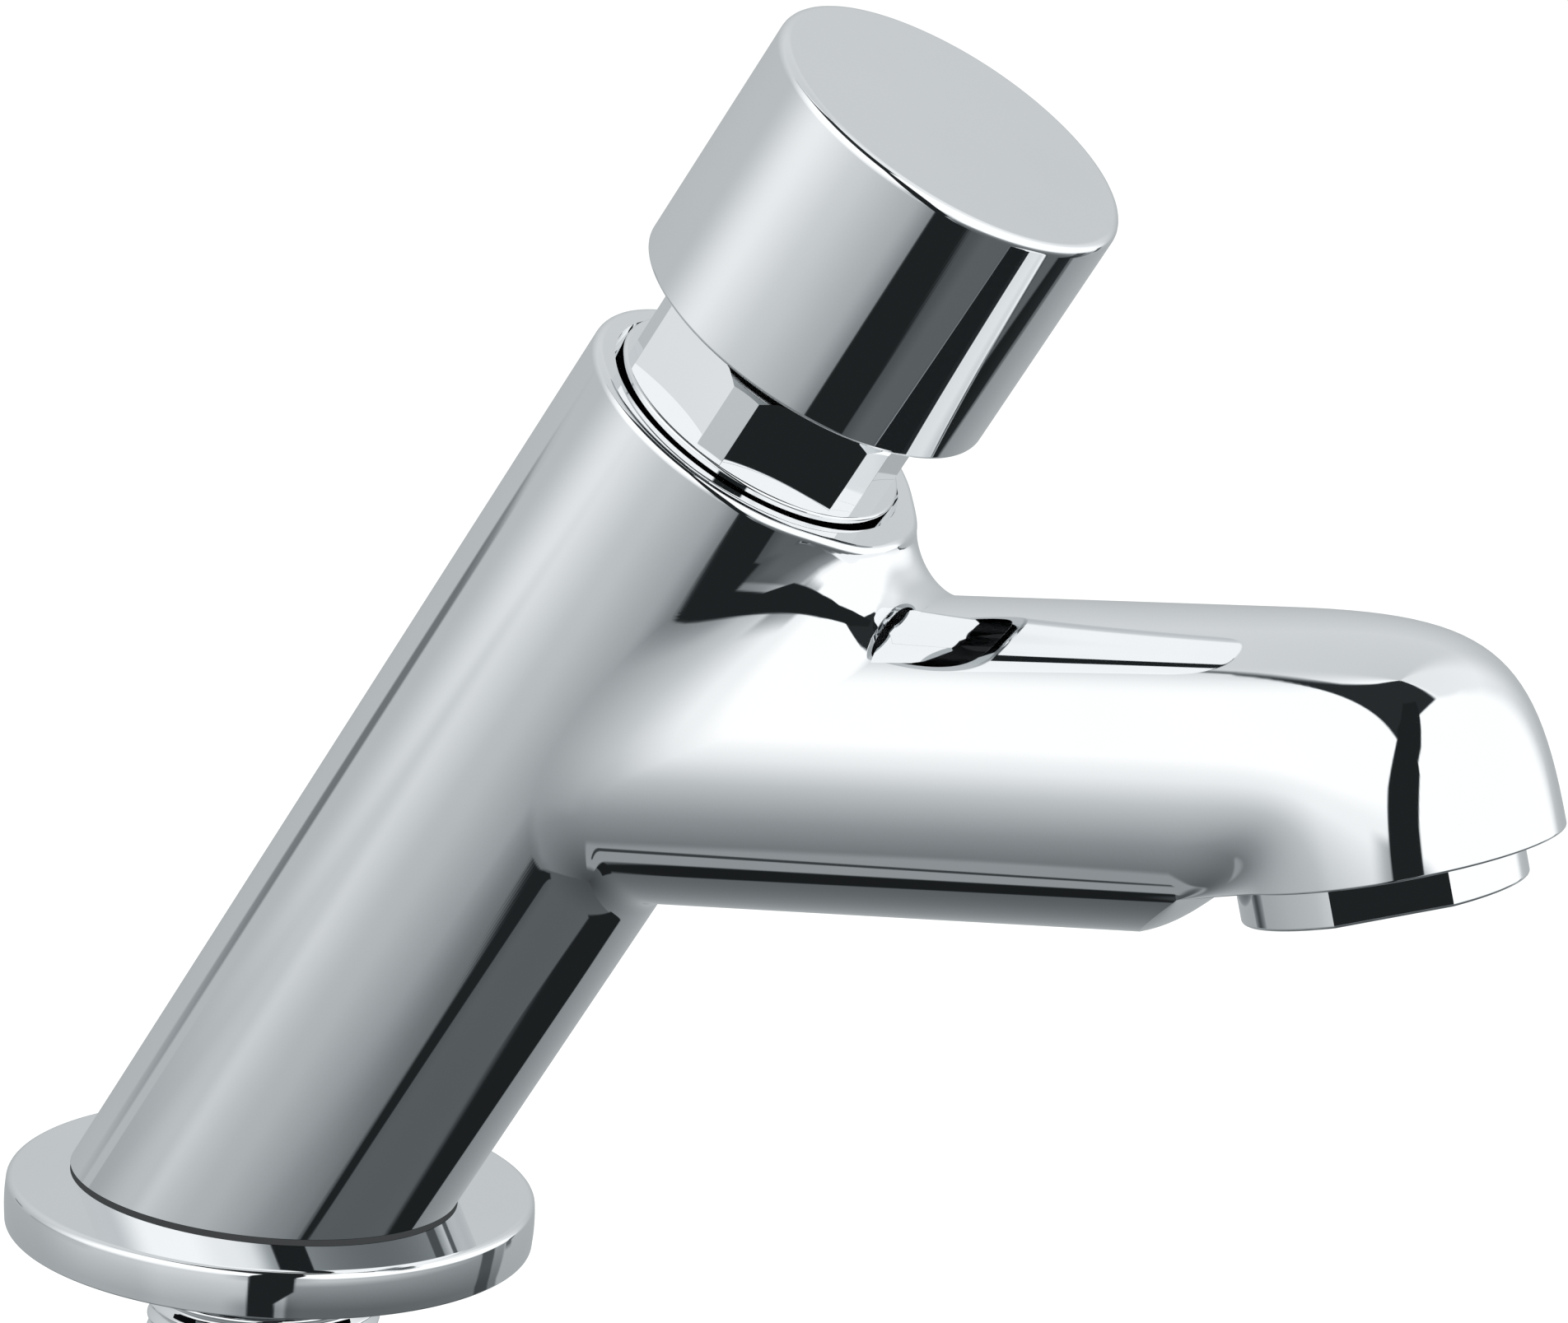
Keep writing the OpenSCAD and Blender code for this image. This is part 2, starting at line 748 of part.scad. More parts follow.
module valve_holder() {
    color([0.80, 0.67, 0.38])
    along_barrel()
        tube(washer_d / 2 + 0.2, stem_r + seat_gap / 2, holder_low, washer_low);
}

module valve_washer() {
    color([0.1, 0.1, 0.1])
    along_barrel()
        tube(washer_d / 2, stem_r + seat_gap / 2, washer_low, seat_low);
}

module valve_nut() {
    color([0.78, 0.65, 0.36])
    along_barrel()
        difference() {
            hex_rod(valve_nut_flats, valve_nut_low, holder_low);
            rod(stem_r + seat_gap / 2, valve_nut_low - 1, holder_low + 1);
        }
}

module button_cap() {
    color([0.87, 0.88, 0.89])
    along_barrel()
        difference() {
            rounded_rod(cap_r, cap_low, cap_top, cap_round);
            rod(cap_r - cap_wall, cap_low - 1, ceiling);
        }
}

module button_insert() {
    color([0.25, 0.26, 0.28])
    along_barrel()
        difference() {
            union() {
                rod(insert_r, disc_low, ceiling);
                rod(boss_d / 2, boss_low, ceiling);
            }
            rod(stem_r + running_gap, boss_low - 1, stem_top);
            rod(screw_r + seat_gap, boss_low, ceiling + 1);
            rod(screw_head_r + seat_gap, stem_top + web_t, ceiling + 1);
        }
}

module button_screw() {
    color([0.74, 0.75, 0.77])
    along_barrel()
        difference() {
            union() {
                rod(screw_r, stem_top - screw_depth, stem_top + web_t + 1);
                rod(screw_head_r, stem_top + web_t, stem_top + web_t + screw_head_h);
            }
            hex_rod(2.5, stem_top + web_t + 0.9, stem_top + web_t + screw_head_h + 1);
        }
}

// shell that screws into the outlet, with a collar outside and a lip under the insert
module aerator_housing() {
    color([0.85, 0.86, 0.87])
    along_outlet()
        difference() {
            union() {
                rod(aerator_r, shell_top, shell_low - 1);
                rod(collar_r, drop_len + 0.1, shell_low);
            }
            rod(shell_bore, shell_top - 1, insert_low);
            rod(shell_bore - 1, shell_top - 1, shell_low + 1);
            for (side = [0, 180])
                rotate([0, 0, flat_turn + side])
                    translate([collar_r - flat_depth, -collar_r, drop_len])
                        cube([collar_r, collar_d, collar_h + 1]);
        }
}

// plastic insert: rings joined by spokes
module aerator_insert() {
    color([0.90, 0.91, 0.90])
    along_outlet()
        union() {
            tube(shell_bore - seat_gap, shell_bore - 1.5, insert_top, insert_low);
            tube(shell_bore * 0.62, shell_bore * 0.62 - 1, insert_top, insert_low);
            tube(shell_bore * 0.32, shell_bore * 0.32 - 1, insert_top, insert_low);
            for (a = [0 : 30 : 150])
                rotate([0, 0, a])
                    translate([-shell_bore + 0.8, -0.45, insert_top])
                        cube([2 * shell_bore - 1.6, 0.9, insert_low - insert_top]);
        }
}

module aerator_screen() {
    color([0.66, 0.67, 0.68])
    along_outlet()
        rod(shell_bore - seat_gap, shell_top, insert_top);
}

module aerator_washer() {
    color([0.1, 0.1, 0.1])
    along_outlet()
        tube(aerator_r, outlet_room, seat_floor, shell_top);
}

body();
base_plate();
base_gasket();
body_seal();
inlet_tail();
deck_washer();
clamp_washer();
back_nut();
flow_regulator();
inlet_strainer();
cartridge_housing();
lower_o_ring();
upper_o_ring();
bleed_wire();
head_nut();
gland_bush();
stem_o_ring();
stem();
piston();
piston_seal();
return_spring();
valve_holder();
valve_washer();
valve_nut();
button_cap();
button_insert();
button_screw();
aerator_housing();
aerator_insert();
aerator_screen();
aerator_washer();
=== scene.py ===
import bpy
import numpy as np
from mathutils import Matrix


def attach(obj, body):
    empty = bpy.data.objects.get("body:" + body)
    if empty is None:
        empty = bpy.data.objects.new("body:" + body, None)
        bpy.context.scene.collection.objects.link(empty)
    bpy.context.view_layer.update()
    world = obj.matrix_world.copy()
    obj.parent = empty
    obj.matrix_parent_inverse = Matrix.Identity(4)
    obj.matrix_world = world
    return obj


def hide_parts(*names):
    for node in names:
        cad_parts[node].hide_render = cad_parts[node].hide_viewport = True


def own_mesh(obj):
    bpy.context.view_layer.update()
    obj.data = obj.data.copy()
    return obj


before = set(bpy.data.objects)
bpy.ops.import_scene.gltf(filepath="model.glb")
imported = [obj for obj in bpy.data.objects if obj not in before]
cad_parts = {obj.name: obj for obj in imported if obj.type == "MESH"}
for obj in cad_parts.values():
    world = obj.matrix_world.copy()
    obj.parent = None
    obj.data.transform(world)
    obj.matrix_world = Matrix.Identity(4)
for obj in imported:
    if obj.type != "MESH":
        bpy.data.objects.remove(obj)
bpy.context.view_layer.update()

# Sizes are in millimetres and degrees, as on the maker's drawing; meshes are written in metres.
MM = 0.001
LEAN, RISE, TILT, BEVEL = np.radians([29.5, 8.7, 17.0, 34.0])

# Barrel: radii, and stations up its axis from the base plate's top. The foot has heights over the deck.
BARREL_R, RIM, RIM_ROUND = 16.45, 93.5, 0.8
GROOVE_R, GROOVE_DEEP, MOUTH_R, MOUTH_LOW = 14.5, 2.0, 14.1, 78.5
CARTRIDGE_R, SEAT, WELL_R, WELL_LOW = 12.0, 35.7, 8.8, 20.0
BODY_LOW, SEAL_OUT_R, SEAL_IN_R, SEAL_TOP = 4.9, 14.3, 11.9, 5.9
SOCKET_R, SOCKET_TOP = 11.1, 16.6

# Spout and neck: where the spout's axis crosses the barrel's, and the fillet between the two.
SPOUT_R, SPOUT_AT, SPOUT_LEN = 14.4, 55.8, 82.0
NECK_TOP, NECK_SIDE, NECK_UNDER, NECK_SOFT = 4.0, 20.0, 4.5, 0.35
NECK_EASE, NECK_CLEAR = 0.36, 0.6

# Outlet: radii, and stations down its own axis; its rounded end and the bevel behind it.
OUTLET_R, DROP, BORE_BACK, BORE_R, BORE_TOP = 14.85, 6.8, 1.7, 12.1, 0.8
STUB_R, STUB_TOP = 8.6, -3.2
BEVEL_START, BEVEL_CROWN, LIP_ROUND, CROWN_BACK = 59.24, 1.0, 0.25, 9.0
CROWN_FULL, NOSE_FULL, RIM_SPREAD = 0.84, 0.84, 0.82

# Base plate: its side is an arc that rounds off a blunt corner.
PLATE_T, PLATE_EDGE_R, PLATE_CORNER_R, PLATE_HOLE_R = 4.6, 24.87, 25.064, 11.3
GASKET_IN_R, GASKET_OUT_R, GASKET_T = 16.9, 22.1, 1.6
PLATE_ROUNDS = [0.2, 17, 0.7, 0.2, 0.1, 0, 0, 0, 0]

# Push button and head nut: stations up the barrel's axis.
BUTTON_R, BUTTON_LOW, BUTTON_TOP, BUTTON_IN_R, BUTTON_ROOF = 17.15, 103.9, 127.6, 14.95, 124.6
BUTTON_ROUNDS = [0.35, 0.9, 0, 0, 0.3, 0.2]
NUT_FLATS, NUT_CORNERS, NUT_TURN, NUT_SOFT = 24.4, 26.6, 8.0, 0.16
NUT_LOW, NUT_TOP, NUT_CROWN_R, NUT_CROWN_FALL = 94.4, 101.9, 12.78, 1.31
SHANK_R, SHANK_LOW, SHANK_ROUND = 14.0, 81.5, 0.3
GLAND_R, GLAND_LOW, STEM_HOLE_R = 5.3, 85.5, 3.3

# Aerator: stations down the outlet's axis.
COLLAR_R, COLLAR_FLAT, COLLAR_TURN, COLLAR_ROUND = 12.6, 11.5, 63.0, 0.3
COLLAR_TOP, COLLAR_LOW, COLLAR_CROWN_R, COLLAR_CROWN_FALL = 6.9, 10.4, 12.4, 0.5
SHELL_R, SHELL_TOP, SHELL_LOW, UNDERCUT_R = 12.0, 2.4, 6.2, 11.3
JET_R, JET_LEDGE, INSERT_R = 9.65, 9.2, 10.65
CLOTH_R, CLOTH_AT, CLOTH_PITCH, CLOTH_SIDE_WIRES = 10.3, 2.65, 1.0, 10
CLOTH_WIRE_R, CLOTH_WAVE = 0.12, 0.13

# Tail and back nut: heights over the deck. A thread is its two ends, its pitch and its depth.
TAIL_R, TAIL_TOP, TAIL_CHAMFER, TAIL_BORE = 11.0, 15.7, 1.0, 7.0
FIXING_TOP, FIXING_LOW, FIXING_THREAD = -2.0, -32.0, (-31.5, -2.5, 1.5, 0.85)
PIPE_R, PIPE_LOW, PIPE_CHAMFER, PIPE_THREAD = 10.4775, -50.0, 1.0, (-48.8, -32.6, 1.814, 1.1)
STRAINER_R, STRAINER_TOP, THREAD_FLAT = 8.5, -39.0, 0.1
BACK_FLATS, BACK_CORNERS, BACK_SOFT, BACK_BORE, BACK_CHAMFER = 30.0, 33.4, 0.3, 11.1, 0.5
BACK_TOP, BACK_LOW, BACK_CROWN_R, BACK_CROWN_FALL = -22.5, -30.5, 15.1, 0.6

# Return spring: its radius, wire and turns, and stations up the barrel's axis.
SPRING_R, SPRING_WIRE_R, SPRING_TURNS, SPRING_LOW, SPRING_RISE = 7.2, 0.6, 5, 58.25, 16.2

# Steps of the grids, and the smallest lengths that still count.
NECK_ROWS, SPOUT_ROWS, END_ROWS, BEVEL_ROWS, BEVEL_COLUMNS = 20, 12, 28, 12, 64
SKIN_ROWS, FOOT_ROWS, RIM_ROWS, TURNED_SIDES = 14, 12, 7, 240
TOP_COLUMNS, SIDE_COLUMNS, BACK_COLUMNS = 16, 80, 96
PATCH_TURN, PATCH_LOW, PATCH_TOP_SHARE, PATCH_SIDE_SHARE = np.radians(98.0), 38.0, 0.16, 0.36
MERGE, MERGE_SHIFT, FINE_STEP, NEAR, TINY = 2e-4, 0.37, 0.5, 1e-9, 1e-12

barrel_foot = np.array([-1.0, 0.0, PLATE_T])
barrel_line = np.array([np.sin(LEAN), 0.0, np.cos(LEAN)])
barrel_front = np.array([np.cos(LEAN), 0.0, -np.sin(LEAN)])
spout_line = np.array([np.cos(RISE), 0.0, np.sin(RISE)])
spout_up = np.array([-np.sin(RISE), 0.0, np.cos(RISE)])
outlet_line = np.array([np.sin(TILT), 0.0, -np.cos(TILT)])
outlet_front = np.array([np.cos(TILT), 0.0, np.sin(TILT)])
across = np.array([0.0, 1.0, 0.0])
upright = np.array([0.0, 0.0, 1.0])
ahead = np.array([1.0, 0.0, 0.0])
deck = np.zeros(3)
crossing = barrel_foot + SPOUT_AT * barrel_line
elbow = crossing + SPOUT_LEN * spout_line
bore_foot = elbow - BORE_BACK * outlet_front

# A place for turned shapes: a point on the axis, the axis, and the direction from which angles count.
barrel_place = (barrel_foot, barrel_line, barrel_front)
outlet_place = (bore_foot, outlet_line, outlet_front)
deck_place = (deck, upright, ahead)


def unit(v):
    """Vectors scaled to length one."""
    return v / np.maximum(np.linalg.norm(v, axis=-1, keepdims=True), TINY)


def fan(turns, front, side):
    """Unit vectors at angles that count from front towards side."""
    return np.cos(turns)[..., None] * front + np.sin(turns)[..., None] * side


def turns_round(x, y):
    """Angles of points round the origin of a plane, without a jump."""
    return np.unwrap(np.arctan2(y, x))


def swing(start, end, share):
    """Unit vectors a share of the way from start to end, along the great circle through both."""
    angle = np.arccos(np.clip(np.sum(start * end, -1, keepdims=True), -1, 1))
    angle = np.maximum(angle, NEAR)
    return (np.sin((1 - share) * angle) * start + np.sin(share * angle) * end) / np.sin(angle)


def smooth(t):
    """A smooth step: 0 up to t = 0 and 1 from t = 1, level at both."""
    t = np.clip(t, 0, 1)
    return t * t * (3 - 2 * t)


def rows(count):
    """Shares from 0 to 1 in count steps, one for each row of a panel."""
    return np.linspace(0, 1, count + 1)[:, None, None]


def curve(u, *poles):
    """Points at shares u of the smooth curve that a run of poles draws: neighbouring poles are blended
    by u, over and over, until one is left. The first and last poles are its ends."""
    while len(poles) > 1:
        poles = [a + u * (b - a) for a, b in zip(poles, poles[1:])]
    return poles[0]


def slope_normals(points, like):
    """Normals of a grid: the cross product of its row and column differences, turned to face like."""
    n = unit(np.cross(np.gradient(points, axis=0), np.gradient(points, axis=1)))
    return np.where(np.sum(n * like, -1, keepdims=True) < 0, -n, n)


def wrapped_normals(points, like):
    """slope_normals for a grid whose last column is its first one again."""
    wide = np.concatenate([points[:, -2:-1], points, points[:, 1:2]], axis=1)
    return slope_normals(wide, np.concatenate([like[:, -2:-1], like, like[:, 1:2]], axis=1))[:, 1:-1]


def join_panels(name, panels):
    """One mesh from panels, each a grid of points with a grid of outward normals. Points of
    neighbouring panels that fall together become one, cells that have shrunk to a line are dropped, and
    every face is wound so that it faces along its normals, which the mesh keeps for shading."""
    sizes = [p.shape[:2] for p, _ in panels]
    starts = np.cumsum([0] + [m * n for m, n in sizes])
    points = np.concatenate([p.reshape(-1, 3) for p, _ in panels])
    normals = np.concatenate([n.reshape(-1, 3) for _, n in panels])
    grids = [s + np.arange(m * n).reshape(m, n) for (m, n), s in zip(sizes, starts)]
    cells = np.concatenate([np.stack([g[:-1, :-1], g[1:, :-1], g[1:, 1:], g[:-1, 1:]], -1).reshape(-1, 4)
                            for g in grids])
    _, first, same = np.unique(np.round(points / MERGE + MERGE_SHIFT).astype(np.int64), axis=0,
                               return_index=True, return_inverse=True)
    merged = points[first]
    ids = same.reshape(-1)[cells]
    shut = ids == np.roll(ids, -1, axis=1)
    sound = (shut.sum(1) < 2) & (ids[:, 0] != ids[:, 2]) & (ids[:, 1] != ids[:, 3])
    cells, ids = cells[sound], ids[sound]
    corner = merged[ids]
    way = np.cross(corner[:, 2] - corner[:, 0], corner[:, 3] - corner[:, 1])
    back = np.sum(way * normals[cells].sum(1), -1) < 0
    cells[back], ids[back] = cells[back][:, ::-1], ids[back][:, ::-1]
    keep = ids != np.roll(ids, -1, axis=1)
    sides = keep.sum(1)
    mesh = bpy.data.meshes.new(name)
    mesh.vertices.add(len(merged))
    mesh.vertices.foreach_set("co", (merged * MM).astype(np.float32).ravel())
    mesh.loops.add(int(sides.sum()))
    mesh.loops.foreach_set("vertex_index", ids[keep].astype(np.int32))
    mesh.polygons.add(len(sides))
    mesh.polygons.foreach_set("loop_start", (np.cumsum(sides) - sides).astype(np.int32))
    mesh.update(calc_edges=True)
    mesh.normals_split_custom_set(unit(normals[cells][keep]).tolist())
    piece = bpy.data.objects.new(name, mesh)
    bpy.context.scene.collection.objects.link(piece)
    return piece


def ring_panel(low, high, normal):
    """A panel between two rows of points, with one normal for all or one for each column."""
    return np.stack([low, high]), np.array(np.broadcast_to(normal, (2,) + low.shape))


def turned(profile, slopes, turns, foot, line, front):
    """A turned panel: a profile of (radius, station) points carried round an axis, with the profile's
    own normals (outwards, along) carried with it. turns are the angles round the axis, from front."""
    ray = fan(turns, front, np.cross(line, front))
    r, h = np.array(profile, float).T[..., None, None]
    n, m = np.array(slopes, float).T[..., None, None]
    return foot + r * ray + h * line, unit(n * ray + m * line + 0 * r)


def ring(radius, station, turns, foot, line, front):
    """Points round an axis at one radius and station."""
    return turned([[radius, station]], [[0, 1]], turns, foot, line, front)[0][0]


def steps(corners, turns, foot, line, front):
    """Sharp-edged turned panels through (radius, station) corners; the solid lies on the left."""
    corners = np.array(corners, float)
    way = unit(np.diff(corners, axis=0))
    slopes = np.stack([way[:, 1], -way[:, 0]], -1)
    return [turned(corners[i:i + 2], [slopes[i]] * 2, turns, foot, line, front) for i in range(len(way))]


def softened(corners, rounds, count=7):
    """A closed outline of corners, each rounded off by an arc that leaves both its sides in line. Gives
    points and outward normals in order; the solid lies on the left."""
    corners, rounds = np.array(corners, float), np.array(rounds, float)[:, None]
    come, go = unit(corners - np.roll(corners, 1, 0)), unit(np.roll(corners, -1, 0) - corners)
    turn = np.arctan2(come[:, 0] * go[:, 1] - come[:, 1] * go[:, 0], np.sum(come * go, -1))[:, None]
    start = corners - come * rounds * np.tan(np.abs(turn) / 2)
    out = np.stack([come[:, 1], -come[:, 0]], -1)
    middle = start - np.sign(turn) * rounds * out
    angle = turn * np.linspace(0, 1, count)
    normal = np.stack([out[:, :1] * np.cos(angle) - out[:, 1:] * np.sin(angle),
                       out[:, :1] * np.sin(angle) + out[:, 1:] * np.cos(angle)], -1)
    points = middle[:, None] + (np.sign(turn) * rounds)[..., None] * normal
    return points.reshape(-1, 2), normal.reshape(-1, 2)


def turned_piece(name, corners, rounds, foot, line, front):
    """A turned piece: a closed outline of rounded corners carried once round an axis."""
    points, normals = [np.concatenate([x, x[:1]]) for x in softened(corners, rounds)]
    turns = np.linspace(0, 2 * np.pi, TURNED_SIDES + 1)
    return join_panels(name, [turned(points, normals, turns, foot, line, front)])


# Neck: a ball rolls round the corner of spout and barrel; its size follows the angle round the spout.
def neck_ball(a):
    """The ball's radius at angle a from the spout's top: from side to top or under with cos(a) squared,
    divided by a softened cos(a)."""
    share = np.cos(a) ** 2 * np.sqrt((1 + NECK_SOFT ** 2) / (np.cos(a) ** 2 + NECK_SOFT ** 2))
    return NECK_SIDE + (np.where(np.cos(a) > 0, NECK_TOP, NECK_UNDER) - NECK_SIDE) * share


def neck_roll(a):
    """Where the ball lies at angle a: its middle from the crossing of the axes, the directions in which
    it touches the spout and the barrel, and its station along the barrel."""
    ball, corner = neck_ball(a), np.pi / 2 - LEAN - RISE
    along = (np.cos(corner) * (SPOUT_R + ball) * np.cos(a)
             + np.sqrt((BARREL_R + ball) ** 2 - ((SPOUT_R + ball) * np.sin(a)) ** 2)) / np.sin(corner)
    from_spout = fan(a, spout_up, across)
    middle = (SPOUT_R + ball)[:, None] * from_spout + along[:, None] * spout_line
    up = middle @ barrel_line
    from_barrel = unit(middle - up[:, None] * barrel_line)
    return middle, from_spout, from_barrel, up + SPOUT_AT


# Outlet: in the spout's own plane, x runs along the spout from the elbow's middle and w runs down.
slant = TILT - RISE
bevel_x = BEVEL_START - SPOUT_LEN
hinge_x = (SPOUT_R + bevel_x * np.tan(BEVEL) - DROP / np.cos(slant)) / (np.tan(BEVEL) - np.tan(slant))
hinge_w = DROP / np.cos(slant) - hinge_x * np.tan(slant)
hinge = elbow + hinge_x * spout_line - hinge_w * spout_up
rim_middle = elbow + DROP * outlet_line
hinge_gap = (rim_middle - hinge) @ outlet_front
spout_end = np.arccos(-hinge_w / SPOUT_R)
corner_y = SPOUT_R * np.sin(spout_end)
rim_end = np.arctan2(corner_y, -hinge_gap)

# Columns round the spout: those that reach the barrel's rim, those up to the bevel, those over it.
trial = np.linspace(0, np.pi / 2, 4000)
rim_reach = np.interp(RIM_ROUND - RIM, -neck_roll(trial)[3], trial)
half = np.concatenate([np.linspace(0, rim_reach, TOP_COLUMNS + 1),
                       np.linspace(rim_reach, spout_end, SIDE_COLUMNS + 1)[1:]])
upper = np.concatenate([-half[:0:-1], half])
under = np.linspace(spout_end, 2 * np.pi - spout_end, BEVEL_COLUMNS)
columns = np.concatenate([upper, under[1:]])


def neck_panel():
    """The fillet between spout and barrel, cut off where it reaches the rounded rim. Its point at angle
    a and share f is the ball's middle less the ball's radius along a direction that swings from the
    spout's normal to the barrel's. Away from the rim that arc gives way to a curve of the fifth degree
    with the same ends, which leaves both skins straight before it bends."""
    middle, n_spout, n_barrel, station = neck_roll(columns)
    ball = neck_ball(columns)
    off_top = np.abs(np.angle(np.exp(1j * columns)))
    lift = np.clip((station - (RIM - RIM_ROUND)) / (ball + RIM_ROUND), 0, 1)
    lift[off_top > rim_reach + NEAR] = 0
    bend = np.arccos(np.sum(n_spout * n_barrel, -1))
    tilt = np.maximum(n_spout @ barrel_line, NEAR)
    share = 1 - np.arcsin(np.clip(lift * np.sin(bend) / tilt, 0, 1)) / bend
    way = swing(n_spout[None], n_barrel[None], rows(NECK_ROWS) * share[None, :, None])
    points = crossing + middle - ball[:, None] * way
    first, last = points[0], points[-1]
    cosine = np.cos(bend)[:, None]
    arm = (NECK_EASE * ball * np.tan(bend / 2))[:, None]
    leave = -arm * unit(n_barrel - cosine * n_spout)
    arrive = -arm * unit(cosine * n_barrel - n_spout)
    eased = curve(rows(NECK_ROWS), first, first + leave, first + 2 * leave,
                  last - 2 * arrive, last - arrive, last)
    points = points + smooth((off_top - rim_reach) / NECK_CLEAR)[:, None] * (eased - points)
    normals = wrapped_normals(points, way)
    normals[0], normals[-1] = way[0], way[-1]
    return points, normals


def end_start(a):
    """Place along the spout where its rounded end starts, at angle a round the spout: the bevel's
    corners below, and further out over the crown, by the square of a cosine."""
    return hinge_x - (CROWN_BACK + hinge_x) * np.cos(a / spout_end * np.pi / 2) ** 2


def bevel_edge(w):
    """Place along the spout where the bevel cuts its skin, at depth w below the spout's axis."""
    return bevel_x + (SPOUT_R - w) / np.tan(BEVEL)


def spout_panel(start):
    """The spout's straight skin, from the fillet to the rounded end above and to the bevel below."""
    w = -SPOUT_R * np.cos(columns)
    end = np.where(w < hinge_w - NEAR, end_start(columns), bevel_edge(w))
    normal = fan(columns, spout_up, across)
    stop = elbow + SPOUT_R * normal + end[:, None] * spout_line
    skin = start + rows(SPOUT_ROWS) * (stop - start)
    return skin, np.broadcast_to(normal, skin.shape)


def end_panels():
    """The spout's rounded end. Each column is a cubic curve from the spout's section, which it leaves
    along the spout, to the outlet's rim, which it meets along the outlet; its two arms are a share of
    the way to the corner of those two lines. The rim is round in front and runs out to the bevel's
    corners behind. A small round then turns under to the flat of the rim."""
    k = upper / spout_end
    lip = LIP_ROUND * (1 - np.abs(k) ** 6)[:, None]
    section = fan(upper, spout_up, across)
    start = elbow + end_start(upper)[:, None] * spout_line + SPOUT_R * section
    ray = fan(k * rim_end, outlet_front, across)
    spread = np.clip((np.abs(k) - RIM_SPREAD) / (1 - RIM_SPREAD), 0, 1) ** 2
    rim_r = OUTLET_R + (np.hypot(corner_y, hinge_gap) - OUTLET_R) * spread
    stop = rim_middle + rim_r[:, None] * ray - lip * outlet_line
    down = (stop - start) @ -spout_up / np.cos(slant)
    ahead_arm = (stop - start) @ spout_line - down * np.sin(slant)
    arm_a = start + CROWN_FULL * ahead_arm[:, None] * spout_line
    arm_b = stop - NOSE_FULL * down[:, None] * outlet_line
    u = rows(END_ROWS)
    points = curve(u, start, arm_a, arm_b, stop)
    slope = curve(u, arm_a - start, arm_b - arm_a, stop - arm_b)
    normals = unit(np.cross(slope, np.gradient(points, axis=1)))
    normals *= np.sign(np.sum(normals * swing(section[None], ray[None], u), -1, keepdims=True))
    normals[0] = section
    normals[:, 0], normals[:, -1] = normals[:, 1], normals[:, -2]
    turn = np.linspace(0, np.pi / 2, 6)[:, None, None]
    edge_n = np.cos(turn) * normals[-1] + np.sin(turn) * outlet_line
    edge = stop - lip * normals[-1] + lip * edge_n
    return (points, normals), (edge, edge_n)


def underside_panels(points, edge):
    """What lies under the spout's end: the bevel, which swells a little between the spout's skin and
    the straight line where it meets the rim, by a parabola one way and a sine the other, the flat of
    the rim and the bore."""
    outer = elbow + SPOUT_R * fan(under, spout_up, across)
    outer = outer + bevel_edge(-SPOUT_R * np.cos(under))[:, None] * spout_line
    share = np.linspace(0, 1, BEVEL_COLUMNS)[:, None]
    inner = (1 - share) * points[-1, -1] + share * points[-1, 0]
    bevel_n = unit(np.tan(BEVEL) * spout_line - spout_up)
    f = rows(BEVEL_ROWS)
    bevel = inner + f * (outer - inner) + 4 * BEVEL_CROWN * f * (1 - f) * np.sin(np.pi * share) * bevel_n
    normals = slope_normals(bevel, bevel_n)
    normals[:, 0], normals[:, -1] = bevel_n, bevel_n
    rim = np.concatenate([edge[-1], inner[1:-1], edge[-1][:1]])
    inward = unit(bore_foot + DROP * outlet_line - rim)
    mouth = bore_foot + DROP * outlet_line - BORE_R * inward
    roof = mouth + (BORE_TOP - DROP) * outlet_line
    stub = bore_foot + BORE_TOP * outlet_line - STUB_R * inward
    top = stub + (STUB_TOP - BORE_TOP) * outlet_line
    stub_middle = top * 0 + bore_foot + STUB_TOP * outlet_line
    return [(bevel, normals), ring_panel(rim, mouth, outlet_line), ring_panel(mouth, roof, inward),
            ring_panel(roof, stub, outlet_line), ring_panel(stub, top, inward),
            ring_panel(top, stub_middle, outlet_line)]


def on_barrel(turn, h):
    """Points and normals on the barrel's skin, at angles from its front and stations along it."""
    ray = fan(turn, barrel_front, across)
    return barrel_foot + BARREL_R * ray + h[..., None] * barrel_line, ray


def foot_panels(edge):
    """The foot's level underside, in from the skin's edge: the seal's groove and the tail's socket."""
    turns = turns_round(edge @ ahead, edge @ across)
    corners = [[0, SOCKET_TOP], [SOCKET_R, SOCKET_TOP], [SOCKET_R, BODY_LOW], [SEAL_IN_R, BODY_LOW],
               [SEAL_IN_R, SEAL_TOP], [SEAL_OUT_R, SEAL_TOP], [SEAL_OUT_R, BODY_LOW]]
    level = ring_panel(edge, ring(SEAL_OUT_R, BODY_LOW, turns, *deck_place), -upright)
    return [level] + steps(corners, turns, *deck_place)


